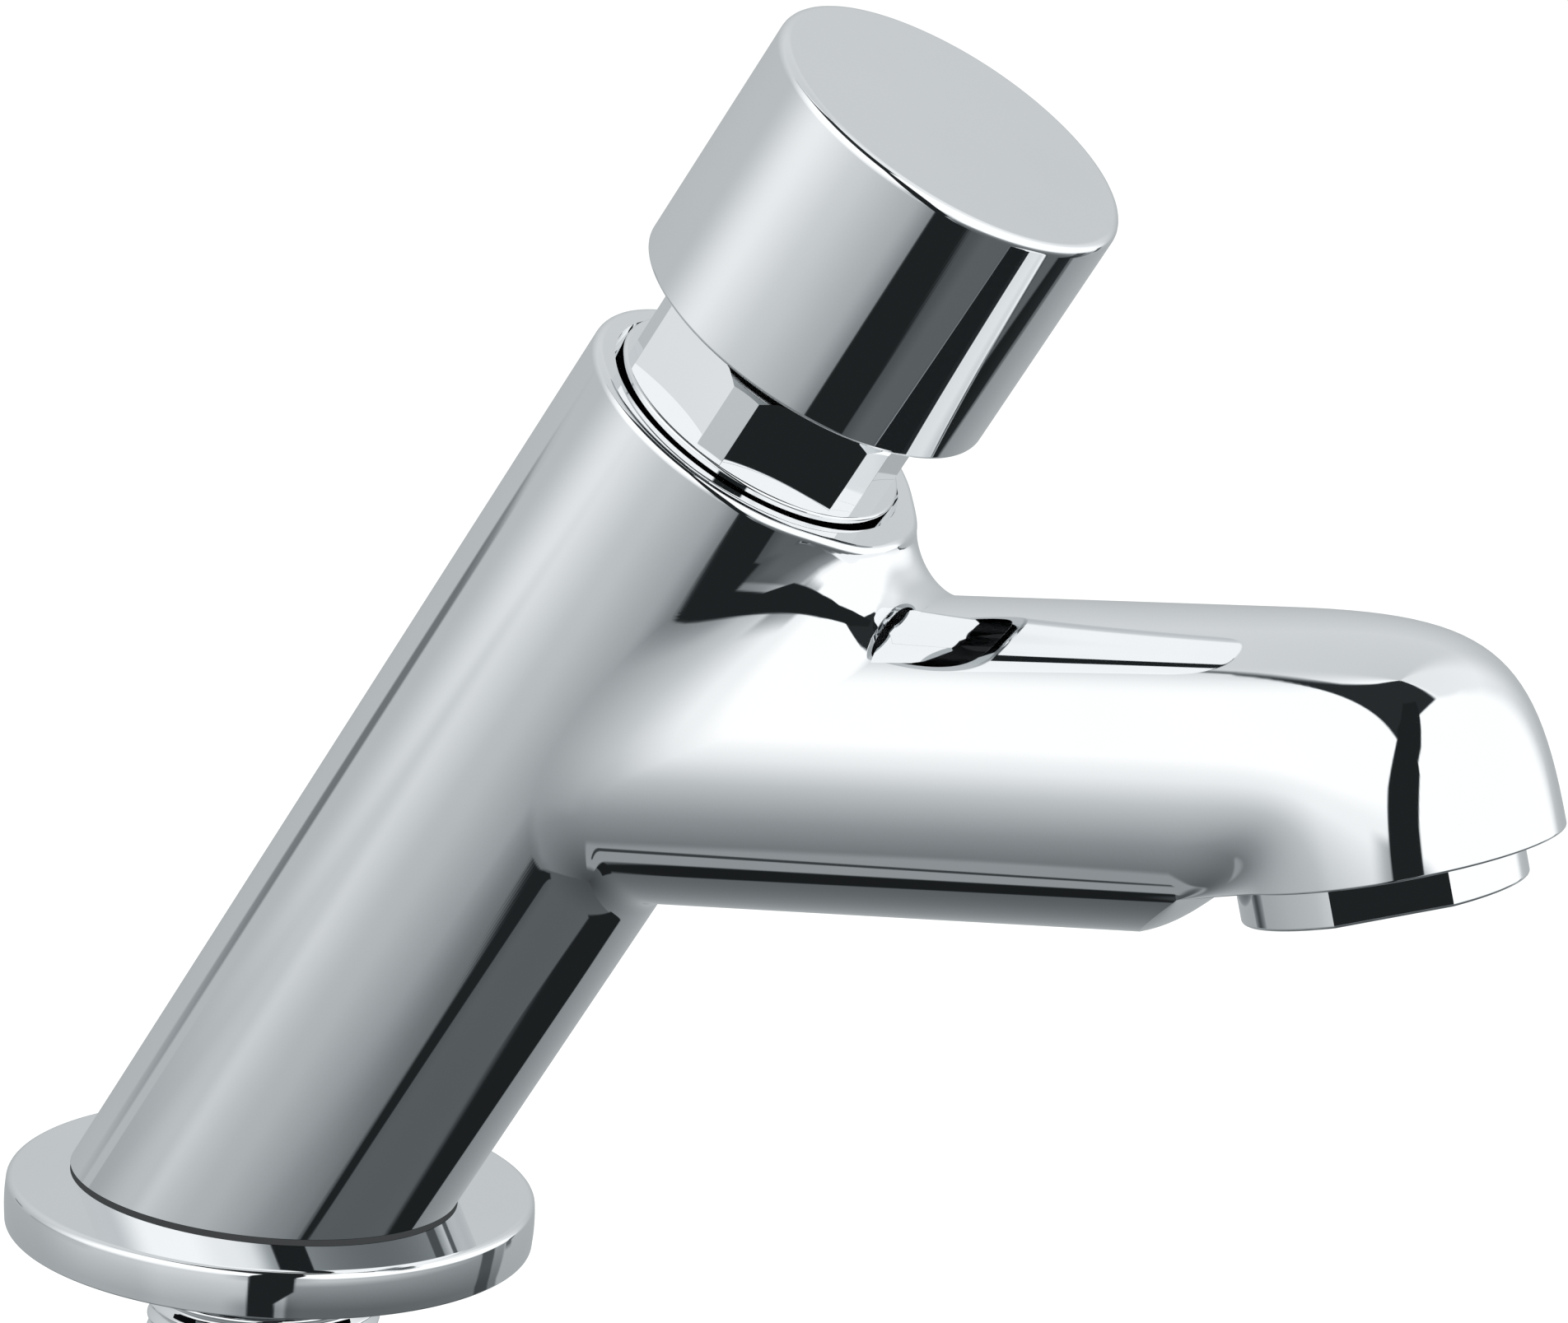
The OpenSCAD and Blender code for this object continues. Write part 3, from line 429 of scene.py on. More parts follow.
def mouth_panels(start, start_n):
    """The rounded rim, whose normal swings from the skin's to the barrel's line, the flat lip, the
    groove round the nut's shank, the mouth and the bore down to the well."""
    rim_n = swing(start_n[None], np.broadcast_to(barrel_line, start_n.shape)[None], rows(RIM_ROWS))
    rim = start - RIM_ROUND * start_n + RIM_ROUND * rim_n
    from_axis = rim[-1] - barrel_foot
    turns = turns_round(from_axis @ barrel_front, from_axis @ across)
    groove_low = RIM - GROOVE_DEEP
    corners = [[GROOVE_R, RIM], [GROOVE_R, groove_low], [MOUTH_R, groove_low], [MOUTH_R, MOUTH_LOW],
               [CARTRIDGE_R, MOUTH_LOW], [CARTRIDGE_R, SEAT], [WELL_R, SEAT], [WELL_R, WELL_LOW],
               [0, WELL_LOW]]
    lip = ring_panel(rim[-1], ring(GROOVE_R, RIM, turns, *barrel_place), barrel_line)
    return [(rim, rim_n), lip] + steps(corners, turns, *barrel_place)


def barrel_panels(contact, contact_n):
    """The barrel's skin: a patch spread on the unrolled barrel, in straight lines from the neck's edge
    out to a rectangle round it, a plain grid round the back, one down to the level foot, the foot's
    underside, and the rim and mouth."""
    _, _, n_barrel, station = neck_roll(columns)
    top = RIM - RIM_ROUND
    crown, reach = len(upper) // 2, len(half[half <= rim_reach + NEAR]) - 1
    closed = len(columns) - 1
    edge = np.arange(crown + reach, closed + crown - reach + 1) % closed
    turn = np.arctan2(n_barrel[edge] @ across, n_barrel[edge] @ barrel_front)
    h = station[edge]
    h[0] = h[-1] = top
    size = len(edge)
    first, second = int(size * PATCH_TOP_SHARE), int(size * PATCH_SIDE_SHARE)
    top_turn = turn[0] + np.linspace(0, 1, first + 1) * (PATCH_TURN - turn[0])
    side = np.linspace(0, 1, second - first + 1)
    low = np.linspace(1, -1, size - 2 * second)
    out_turn = np.concatenate([top_turn, PATCH_TURN + 0 * side[1:], low[1:-1] * PATCH_TURN,
                               -PATCH_TURN + 0 * side, -top_turn[::-1][1:]])
    out_h = np.concatenate([top + 0 * top_turn, top + side[1:] * (PATCH_LOW - top),
                            PATCH_LOW + 0 * low[1:-1], PATCH_LOW + side * (top - PATCH_LOW),
                            top + 0 * top_turn[1:]])
    f = rows(SKIN_ROWS)[..., 0]
    patch, patch_n = on_barrel(turn + f * (out_turn - turn), h + f * (out_h - h))
    patch[0] = contact[edge]
    patch[:, [0, -1]] = contact[edge[[0, -1]]]
    back = np.linspace(PATCH_TURN, 2 * np.pi - PATCH_TURN, BACK_COLUMNS + 1)
    side_h = out_h[first:second + 1, None]
    low_turn = np.concatenate([low * PATCH_TURN, -back[1:]])
    foot_h = (BODY_LOW - PLATE_T + BARREL_R * np.cos(low_turn) * np.sin(LEAN)) / np.cos(LEAN)
    f = rows(FOOT_ROWS)[..., 0]
    panels = [(patch, patch_n), on_barrel(back + 0 * side_h, side_h + 0 * back),
              on_barrel(low_turn + 0 * f, PATCH_LOW + f * (foot_h - PATCH_LOW))]
    bulge = np.arange(crown - reach, crown + reach + 1)
    plain_turn = np.concatenate([out_turn[1:first + 1], back[1:], out_turn[-first:-1]])
    plain, plain_n = on_barrel(plain_turn, top + 0 * plain_turn)
    start = np.concatenate([contact[bulge], plain, contact[bulge][:1]])
    start_n = np.concatenate([contact_n[bulge], plain_n, contact_n[bulge][:1]])
    return panels + foot_panels(on_barrel(low_turn, foot_h)[0]) + mouth_panels(start, start_n)


def tap_body():
    """The cast body: barrel, neck, spout and rounded end as one closed skin."""
    neck, neck_n = neck_panel()
    end, lip = end_panels()
    return join_panels("tap_body", [(neck, neck_n), spout_panel(neck[0]), end, lip]
                       + underside_panels(end[0], lip[0]) + barrel_panels(neck[-1], neck_n[-1]))


def base_plate():
    """The base plate: a turned disc with a swelling side, the tail's hole and the gasket's groove."""
    side = [[PLATE_EDGE_R, 0], [PLATE_CORNER_R, PLATE_T / 2], [PLATE_EDGE_R, PLATE_T]]
    hole = [[PLATE_HOLE_R, PLATE_T], [PLATE_HOLE_R, 0]]
    groove = [[GASKET_IN_R, 0], [GASKET_IN_R, GASKET_T], [GASKET_OUT_R, GASKET_T], [GASKET_OUT_R, 0]]
    return turned_piece("base_plate_skin", side + hole + groove, PLATE_ROUNDS, *deck_place)


def push_button():
    """The push button: a turned cap, open below."""
    corners = [[BUTTON_R, BUTTON_LOW], [BUTTON_R, BUTTON_TOP], [0, BUTTON_TOP], [0, BUTTON_ROOF],
               [BUTTON_IN_R, BUTTON_ROOF], [BUTTON_IN_R, BUTTON_LOW]]
    return turned_piece("push_button", corners, BUTTON_ROUNDS, *barrel_place)


def flat_sided(flats, corner_flats, turn, soft):
    """The outline of a hexagon with a narrow flat over each corner, edges softened, with more points
    along the flats. A wide and a narrow flat meet where their two lines cross."""
    half_wide = (corner_flats / 2 - flats / 2 * np.cos(np.pi / 6)) / np.sin(np.pi / 6)
    lean_in = np.arctan2(half_wide, flats / 2)
    angles = (np.radians(turn) + np.pi / 3 * np.arange(6)[:, None] + lean_in * np.array([-1, 1])).ravel()
    corners = np.hypot(flats / 2, half_wide) * np.stack([np.cos(angles), np.sin(angles)], -1)
    return finer(*softened(corners, np.full(len(corners), soft), count=4))


def finer(points, normals):
    """A closed outline with its long straight sides divided into steps of about half a millimetre."""
    pairs = [(a, np.roll(a, -1, 0)) for a in (points, normals)]
    count = np.maximum(1, (np.linalg.norm(pairs[0][1] - points, axis=1) / FINE_STEP).astype(int))
    which = np.repeat(np.arange(len(points)), count)
    share = ((np.arange(len(which)) - np.repeat(np.cumsum(count) - count, count)) / count[which])[:, None]
    points, normals = [a[which] + share * (b - a)[which] for a, b in pairs]
    return np.concatenate([points, points[:1]]), unit(np.concatenate([normals, normals[:1]]))


def crowned(outline, normals, low, high, crown_r, fall, foot, line, front):
    """A straight wall over an outline, cut off at its far end by a cone: the cone meets the end plane
    at crown_r and falls back by fall for each millimetre further out. Gives the panels of wall and
    cone, the cone's inner edge and the wall's near edge."""
    plane = np.stack([front, np.cross(line, front)])
    r = np.linalg.norm(outline, axis=1)
    ray = (outline / r[:, None]) @ plane
    out = normals @ plane
    way = np.sign(high - low)
    edge = high - way * np.maximum(0, r - crown_r) * fall
    wall = foot + r[:, None] * ray + np.stack([np.full(len(r), low), edge])[..., None] * line
    inner = foot + np.minimum(r, crown_r)[:, None] * ray + high * line
    cone = unit(fall * ray + way * line)
    panels = [ring_panel(wall[0], wall[1], out), ring_panel(wall[1], inner, cone)]
    return panels, inner, wall[0]


def head_nut():
    """The head nut: a flat-sided head with its corners turned off at the top, on a round shank with a
    rounded edge, bored for the gland."""
    outline, normals = flat_sided(NUT_FLATS, NUT_CORNERS, NUT_TURN, NUT_SOFT)
    turns = turns_round(*outline.T)
    panels, top, foot = crowned(outline, normals, NUT_LOW, NUT_TOP, NUT_CROWN_R, NUT_CROWN_FALL,
                                *barrel_place)
    hole = ring(GLAND_R, NUT_TOP, turns, *barrel_place)
    angle = np.linspace(0, np.pi / 2, 6)
    arc = np.stack([np.cos(angle), np.sin(angle)], -1)
    shank_top = NUT_LOW - SHANK_ROUND
    edge, edge_n = turned([SHANK_R - SHANK_ROUND, shank_top] + SHANK_ROUND * arc, arc, turns, *barrel_place)
    panels += [ring_panel(top, hole, barrel_line), (edge, edge_n), ring_panel(edge[-1], foot, barrel_line)]
    corners = [[GLAND_R, NUT_TOP], [GLAND_R, GLAND_LOW], [STEM_HOLE_R, GLAND_LOW], [STEM_HOLE_R, SHANK_LOW],
               [SHANK_R, SHANK_LOW], [SHANK_R, shank_top]]
    panels += steps(corners, turns, *barrel_place)
    return join_panels("head_nut_skin", panels)


def collar_outline():
    """The collar's outline and normals: two arcs and two spanner flats, turned round the outlet."""
    half_angle = np.arccos(COLLAR_FLAT / COLLAR_R)
    bow = np.linspace(half_angle, np.pi - half_angle, 49)
    chord = np.linspace(-1, 1, 25) * COLLAR_R * np.sin(half_angle)
    arc_n = np.stack([np.cos(bow), np.sin(bow)], -1)
    flat = np.stack([chord * 0 + COLLAR_FLAT, chord], -1)
    flat_n = flat * 0 + [1, 0]
    arc = COLLAR_R * arc_n
    outline = np.concatenate([flat, arc, -flat, -arc, flat[:1]])
    normals = np.concatenate([flat_n, arc_n, -flat_n, -arc_n, flat_n[:1]])
    angle = np.radians(COLLAR_TURN)
    turn = np.array([[np.cos(angle), np.sin(angle)], [-np.sin(angle), np.cos(angle)]])
    return outline @ turn, normals @ turn


def aerator_housing():
    """The aerator's housing: a collar with two spanner flats, a turned-off upper edge and a rounded
    lower one, below a threaded shell."""
    outline, normals = collar_outline()
    turns = turns_round(*outline.T)
    round_top = COLLAR_LOW - COLLAR_ROUND
    panels, top, low = crowned(outline, normals, round_top, COLLAR_TOP, COLLAR_CROWN_R, COLLAR_CROWN_FALL,
                               *outlet_place)
    plane = np.stack([outlet_front, np.cross(outlet_line, outlet_front)])
    ray, out = unit(outline) @ plane, unit(normals) @ plane
    lip = np.linspace(0, np.pi / 2, 5)[:, None, None]
    lip_n = np.cos(lip) * out + np.sin(lip) * outlet_line
    rounded = low + COLLAR_ROUND * ((np.cos(lip) - 1) * ray + np.sin(lip) * outlet_line)
    hole = ring(JET_R, COLLAR_LOW, turns, *outlet_place)
    undercut = ring(UNDERCUT_R, COLLAR_TOP, turns, *outlet_place)
    panels += [ring_panel(undercut, top, -outlet_line), (rounded, lip_n),
               ring_panel(rounded[-1], hole, outlet_line)]
    corners = [[JET_R, COLLAR_LOW], [JET_R, JET_LEDGE], [INSERT_R, JET_LEDGE], [INSERT_R, SHELL_TOP],
               [SHELL_R, SHELL_TOP], [SHELL_R, SHELL_LOW], [UNDERCUT_R, SHELL_LOW], [UNDERCUT_R, COLLAR_TOP]]
    panels += steps(corners, turns, *outlet_place)
    return join_panels("aerator_housing_skin", panels)


def thread_depth(turns, z, low, high, pitch, depth):
    """A screw thread's depth below its crest: a saw with flat crests and roots along the height less
    the turn, run out at both ends."""
    wave = np.abs(2 * ((z / pitch - turns / (2 * np.pi)) % 1) - 1)
    run = np.clip((z - low) / pitch, 0, 1) * np.clip((high - z) / pitch, 0, 1)
    return depth * np.clip((wave - THREAD_FLAT) / (1 - 2 * THREAD_FLAT), 0, 1) * run


def inlet_tail():
    """The tail: a plain shoulder in the body's socket, a fixing thread for the back nut, and the pipe's
    thread below. A threaded skin's radius is that of its crest less the thread's depth."""
    turns = np.linspace(0, 2 * np.pi, 97)
    pipe_low = PIPE_LOW + PIPE_CHAMFER
    fixing_z, pipe_z = np.linspace(FIXING_TOP, FIXING_LOW, 241), np.linspace(FIXING_LOW, pipe_low, 131)
    ray = fan(turns, ahead, across)
    skins = []
    for crest, z, thread in ((TAIL_R, fixing_z, FIXING_THREAD), (PIPE_R, pipe_z, PIPE_THREAD)):
        r = crest - thread_depth(turns, z[:, None], *thread)
        skins.append(r[..., None] * ray + z[:, None, None] * upright)
    panels = [(p, wrapped_normals(p, np.broadcast_to(ray, p.shape))) for p in skins]
    panels.append(ring_panel(skins[0][-1], skins[1][0], -upright))
    corners = [[TAIL_R, FIXING_TOP], [TAIL_R, TAIL_TOP - TAIL_CHAMFER], [TAIL_R - TAIL_CHAMFER, TAIL_TOP],
               [TAIL_BORE, TAIL_TOP], [TAIL_BORE, STRAINER_TOP], [STRAINER_R, STRAINER_TOP],
               [STRAINER_R, PIPE_LOW], [PIPE_R - PIPE_CHAMFER, PIPE_LOW], [PIPE_R, pipe_low]]
    panels += steps(corners, turns, *deck_place)
    return join_panels("inlet_tail_skin", panels)


def back_nut():
    """The back nut: a hexagon with its corners turned off at both ends, on the tail's fixing thread."""
    outline, normals = flat_sided(BACK_FLATS, BACK_CORNERS, 0.0, BACK_SOFT)
    turns = turns_round(*outline.T)
    middle, rim_r = (BACK_TOP + BACK_LOW) / 2, BACK_BORE + BACK_CHAMFER
    panels = []
    for end, facing in ((BACK_TOP, upright), (BACK_LOW, -upright)):
        wall, rim, _ = crowned(outline, normals, middle, end, BACK_CROWN_R, BACK_CROWN_FALL, *deck_place)
        panels += wall + [ring_panel(rim, ring(rim_r, end, turns, *deck_place), facing)]
    corners = [[rim_r, BACK_TOP], [BACK_BORE, BACK_TOP - BACK_CHAMFER],
               [BACK_BORE, BACK_LOW + BACK_CHAMFER], [rim_r, BACK_LOW]]
    panels += steps(corners, turns, *deck_place)
    return join_panels("back_nut_skin", panels)


def return_spring():
    """The spring: a round wire carried along a helix about the barrel's axis, with rounded ends."""
    run = np.linspace(0, 1, 241)
    ray = fan(2 * np.pi * SPRING_TURNS * run, barrel_front, across)
    path = barrel_foot + SPRING_R * ray + (SPRING_LOW + SPRING_RISE * run)[:, None] * barrel_line
    along = unit(np.gradient(path, axis=0))
    up = np.cross(along, ray)
    end = np.array([0, 0.5, 0.85])
    thick = np.concatenate([end, np.ones(len(run)), end[::-1]])[:, None]
    past = np.concatenate([-np.sqrt(1 - end ** 2), 0 * run, np.sqrt(1 - end[::-1] ** 2)])[:, None]
    pick = np.concatenate([[0] * len(end), np.arange(len(run)), [len(run) - 1] * len(end)])
    round_wire = np.linspace(0, 2 * np.pi, 13)[:, None, None]
    out = np.cos(round_wire) * ray[pick] + np.sin(round_wire) * up[pick]
    way = past * along[pick] + thick * out
    return join_panels("return_spring_wire", [(path[pick] + SPRING_WIRE_R * way, unit(way))])


def aerator_mesh():
    """The aerator's wire cloth: wires in two directions, each a round wire along a shallow wave that
    passes over and under the wires that cross it, cut to the round of the housing."""
    number = np.arange(-CLOTH_SIDE_WIRES, CLOTH_SIDE_WIRES + 1)[:, None]
    at = number * CLOTH_PITCH
    s = np.linspace(-1, 1, 85)[None] * np.sqrt(CLOTH_R ** 2 - at ** 2)
    over = CLOTH_WAVE * np.cos(np.pi * s / CLOTH_PITCH) * np.where(number % 2, 1, -1)
    around = np.linspace(0, 2 * np.pi, 6)
    side = np.cross(outlet_line, outlet_front)
    middle = bore_foot + CLOTH_AT * outlet_line
    panels = []
    for first, second, flip in ((outlet_front, side, 1), (side, outlet_front, -1)):
        path = middle + s[..., None] * first + at[..., None] * second + (flip * over)[..., None] * outlet_line
        out = fan(around, second, outlet_line)
        tube = path[:, :, None] + CLOTH_WIRE_R * out
        tube[:, 0], tube[:, -1] = path[:, :1], path[:, -1:]
        panels += [(t, np.broadcast_to(out, t.shape)) for t in tube]
    return join_panels("aerator_wire_cloth", panels)


# Finishes: every one varies a little over the surface, on the piece's own coordinates.
NOISE_DETAIL, TINT_STOPS, BUMP_HEIGHT = 3.0, (0.3, 0.7), 0.0002
# Painted shade: a near-black colour for a level face at one height, within a small distance of it.
GAP_SHADE_NEAR, GAP_SHADE_COLOUR, WHITE = 0.00003, (0.012, 0.012, 0.013, 1), (1, 1, 1, 1)


def add(tree, kind, **inputs):
    """A new node in a tree, with its plain inputs set by name (_ stands for a blank)."""
    node = tree.nodes.new(kind)
    for name, value in inputs.items():
        node.inputs[name.replace("_", " ")].default_value = value
    return node


def link(tree, start, output, end, entry):
    """Links an output of one node to an input of another."""
    tree.links.new(start.outputs[output], end.inputs[entry])


def finish(name, dark, pale, rough, scale, metal=0.0, stretch=(1, 1, 1), bump=0.0, gap_shade_height=None):
    """A material whose colour runs between dark and pale, and whose roughness runs between its two
    values, with noise of the given scale per metre, stretched along the axes; bump raises the same
    noise a little. A level face at the given height is painted near black: painted shade in a thin gap."""
    material = bpy.data.materials.new(name)
    material.use_nodes = True
    tree = material.node_tree
    shader = tree.nodes["Principled BSDF"]
    shader.inputs["Metallic"].default_value = metal
    place = add(tree, "ShaderNodeTexCoord")
    spread = add(tree, "ShaderNodeMapping", Scale=stretch)
    noise = add(tree, "ShaderNodeTexNoise", Scale=scale, Detail=NOISE_DETAIL)
    tint = add(tree, "ShaderNodeValToRGB")
    gloss = add(tree, "ShaderNodeMapRange", To_Min=rough[0], To_Max=rough[1])
    for stop, colour, position in zip(tint.color_ramp.elements, (dark, pale), TINT_STOPS):
        stop.color = (*colour, 1)
        stop.position = position
    link(tree, place, "Object", spread, "Vector")
    link(tree, spread, "Vector", noise, "Vector")
    link(tree, noise, "Fac", tint, "Fac")
    link(tree, noise, "Fac", gloss, "Value")
    link(tree, tint, "Color", shader, "Base Color")
    link(tree, gloss, "Result", shader, "Roughness")
    # Painted shade: the level face at that height is mixed to near black, standing for the shade in the thin
    # gap between the body's foot and the base plate.
    if gap_shade_height is not None:
        split = add(tree, "ShaderNodeSeparateXYZ")
        level = add(tree, "ShaderNodeMath")
        level.operation = "COMPARE"
        level.inputs[1].default_value = gap_shade_height
        level.inputs[2].default_value = GAP_SHADE_NEAR
        shade_mix = add(tree, "ShaderNodeMixRGB", Color2=GAP_SHADE_COLOUR)
        link(tree, place, "Object", split, "Vector")
        link(tree, split, "Z", level, 0)
        link(tree, level, "Value", shade_mix, "Fac")
        link(tree, tint, "Color", shade_mix, "Color1")
        link(tree, shade_mix, "Color", shader, "Base Color")
    if bump:
        raised = add(tree, "ShaderNodeBump", Strength=bump, Distance=BUMP_HEIGHT)
        link(tree, noise, "Fac", raised, "Height")
        link(tree, raised, "Normal", shader, "Normal")
    return material


looks = {
    # The polished chrome carries painted shade on the body's level underside, at the foot's height over the
    # deck.
    "polished_chrome": dict(dark=(0.855, 0.872, 0.885), pale=(0.875, 0.890, 0.900), metal=1.0,
                            rough=(0.015, 0.035), scale=60, gap_shade_height=BODY_LOW * MM),
    "turned_brass": dict(dark=(0.66, 0.50, 0.24), pale=(0.78, 0.62, 0.33), metal=1.0,
                         rough=(0.20, 0.34), scale=90, stretch=(1, 1, 12), bump=0.15),
    "black_rubber": dict(dark=(0.018, 0.018, 0.019), pale=(0.042, 0.042, 0.043),
                         rough=(0.50, 0.72), scale=700, bump=0.2),
    "stainless_steel": dict(dark=(0.54, 0.55, 0.56), pale=(0.66, 0.67, 0.68), metal=1.0,
                            rough=(0.18, 0.32), scale=300, stretch=(1, 1, 9)),
    "white_plastic": dict(dark=(0.78, 0.78, 0.75), pale=(0.87, 0.87, 0.84),
                          rough=(0.32, 0.45), scale=400),
    "dark_plastic": dict(dark=(0.030, 0.031, 0.034), pale=(0.060, 0.061, 0.065),
                         rough=(0.35, 0.50), scale=400),
    "blue_plastic": dict(dark=(0.05, 0.16, 0.38), pale=(0.09, 0.24, 0.50),
                         rough=(0.22, 0.36), scale=400),
}
finishes = {name: finish(name, **look) for name, look in looks.items()}

# Plain solids that the frame shows as they are, by finish.
node_finish = {
    "turned_brass": ["cartridge_housing", "valve_holder", "valve_nut"],
    "black_rubber": ["base_gasket", "body_seal", "deck_washer", "lower_o_ring", "upper_o_ring", "stem_o_ring",
                     "piston_seal", "valve_washer", "aerator_washer"],
    "stainless_steel": ["stem", "bleed_wire", "button_screw", "clamp_washer", "inlet_strainer"],
    "white_plastic": ["gland_bush", "piston", "aerator_insert"],
    "dark_plastic": ["button_insert"],
    "blue_plastic": ["flow_regulator"],
}
for finish_name, node_names in node_finish.items():
    for node_name in node_names:
        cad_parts[node_name].data.materials.clear()
        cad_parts[node_name].data.materials.append(finishes[finish_name])


# Pieces: each rides on its body and stands for the plain solid of the same piece.
def dress(piece, body_name, slot_name, node_name):
    """Puts a finished piece on its body, in its finish, in place of a plain solid."""
    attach(piece, body_name)
    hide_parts(node_name)
    piece.data.materials.append(finishes[slot_name])
    return piece


dress(tap_body(), "tap", "polished_chrome", "body")
plate = dress(base_plate(), "tap", "polished_chrome", "base_plate")
dress(push_button(), "plunger", "polished_chrome", "button_cap")
dress(head_nut(), "tap", "polished_chrome", "head_nut")
dress(aerator_housing(), "tap", "polished_chrome", "aerator_housing")
tail = dress(inlet_tail(), "tap", "polished_chrome", "inlet_tail")
fixing_nut = dress(back_nut(), "tap", "turned_brass", "back_nut")
spring = dress(return_spring(), "tap", "stainless_steel", "return_spring")
dress(aerator_mesh(), "tap", "stainless_steel", "aerator_screen")
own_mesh(spring)

# The plate and what lies below the deck are not mirrored in the polished barrel.
below_deck = ("base_gasket", "body_seal", "deck_washer", "clamp_washer", "inlet_strainer", "flow_regulator")
for piece in [plate, tail, fixing_nut] + [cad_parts[node_name] for node_name in below_deck]:
    piece.visible_glossy = False


# Studio: a round tent of light that only polished metal sees, a pale floor, and one soft lamp.
TENT_R, TENT_MIDDLE, SCREEN_TALL = 3000, np.array([40, 0, 60]), 66
SCREEN_WHITE, SCREEN_POWER, CHROME_SHARE = 255, 2.2, 0.87
COOL = np.array([0.85, 1.0, 1.07])
FLOOR_HALF, FLOOR_AT, FLOOR_SHOWN = 4000.0, -50.02, 0.32
SKY_LIGHT, SKY_SHOWN = 0.75, 1.0
LAMP_FAR, LAMP_SIZE, LAMP_POWER = 1500, 1.2, 6.0


def window(x, low, high, soft):
    """One between low and high, falling to nothing over soft outside them."""
    return smooth((x - low) / soft + 1) * smooth((high - x) / soft + 1)


def along_heights(el, *pairs):
    """A value for each height, in straight runs through (height, value) pairs."""
    heights, values = np.array(sorted(pairs), float).T
    return np.interp(el, heights, values)


def toward(tone, share, level):
    """A tone moved a share of the way to a level."""
    return tone + share * (level - tone)


def screen_top(az, facing):
    """Height of a flat screen's straight upper edge, seen from the tap: its tangent falls with the
    cosine of the direction from the way that the screen faces."""
    tallest = np.tan(np.radians(SCREEN_TALL))
    return np.degrees(np.arctan(tallest * np.cos(np.clip(np.radians(az - facing), -1.5, 1.5))))


def tent_tone(az, el):
    """Brightness of the tent, 0 to 255 as a screen shows it, by direction in degrees (az from the
    spout's line, el up). Pale walls and a table that darkens downwards; two white screens, one beside
    the camera and one before the spout, with a dark gap between them and a dark roof above; a few dark
    things and one pale one lower down."""
    roof_tone, gap_tone, edge_tone, post_tone = 46, 38, 90, 112
    apron_tone, cord_tone, kerb_tone = 142, 60, 34

    # Walls, paler ahead; the table with the screen beside the camera over it; a darker strip behind.
    tone = along_heights(el, (-90, 65), (-70, 96), (-27, 160), (-5, 177), (42, 208), (90, 200))
    tone = tone + 28 * window(az, -30, 62, 30) * window(el, 0, 90, 10)
    table = along_heights(el, (-90, 70), (-66, 106), (-40, 142), (-16, 187), (0, 230), (14, 255))
    table = table + 8 * window(az, -105, -75, 14) * window(el, -38, 0, 8)
    tone = toward(tone, window(az, -140, -55, 40), np.minimum(table, SCREEN_WHITE))
    tone = tone - 18 * window(az, -185, -147, 10) * window(el, -12, -4, 3)

    # The screen before the spout, whose far end leans in as it rises.
    front = along_heights(el, (-90, 75), (-55, 92), (-30, 98), (-15, 140), (-8, 240), (-3, 255))
    front_end = along_heights(el, (-5, 62), (10, 57), (25, 50), (40, 40), (55, 22), (66, -8))
    front_soft = along_heights(el, (-15, 2.5), (0, 16))
    tone = toward(tone, window(az, -50, 200, 2.5) * window(az, -200, front_end, front_soft), front)

    # The dark roof over both screens.
    screens = np.where(az < -60, screen_top(az, -125), screen_top(az, 0))
    roof_end = along_heights(el, (55, -172), (69, -147), (80, -135))
    tone = toward(tone, window(az, roof_end, -8, 8) * window(el, screens, 200, 1.5), roof_tone)

    # The dark gap between the screens, shaded beside it, and a gap at the front screen's far end.
    gap_left = along_heights(el, (-56, -48), (-52, -50), (-48, -58), (-40, -68), (20, -66), (70, -58))
    gap_right = along_heights(el, (-56, -42), (-53, -39), (-47, -40), (-38, -56), (-26, -57), (-18, -49),
                              (10, -48), (70, -36))
    beside = 0.16 * window(el, -50, -30, 10) + 0.3 * window(el, -9, 1, 4)
    tone = tone * (1 - window(az, gap_left, gap_right, 14) * beside)
    tone = toward(tone, window(az, gap_left, gap_right, 1.2) * window(el, -57, 70, 1), gap_tone)
    far_left = along_heights(el, (-57, 28), (-50, 40), (-42, 50), (-20, 46))
    far_right = along_heights(el, (-45, 68), (-40, 60), (-20, 54))
    far_tone = along_heights(el, (-44, 36), (-20, 80))
    tone = toward(tone, window(az, far_left, far_right, 1.2) * window(el, -56, -12, 2), far_tone)

    # Small things: an edge and a post behind, a pale apron with a cord on it, and a kerb.
    tone = toward(tone, window(az, 65, 69, 1.2) * window(el, -16, -6, 2), edge_tone)
    post = window(az, 165, 170, 3) * window(el, 0.5, 90, 6) * window(el, -90, 2.5, 1.5)
    tone = toward(tone, post, post_tone)
    tone = toward(tone, window(az, -160, -128, 5) * window(el, -76, -62, 5), apron_tone)
    tone = toward(tone, window(az, -142.5, -140, 1.5) * window(el, -70, -62, 2), cord_tone)
    return toward(tone, window(np.abs(az), 166, 200, 5) * window(el, -75, -69.8, 0.8), kerb_tone)


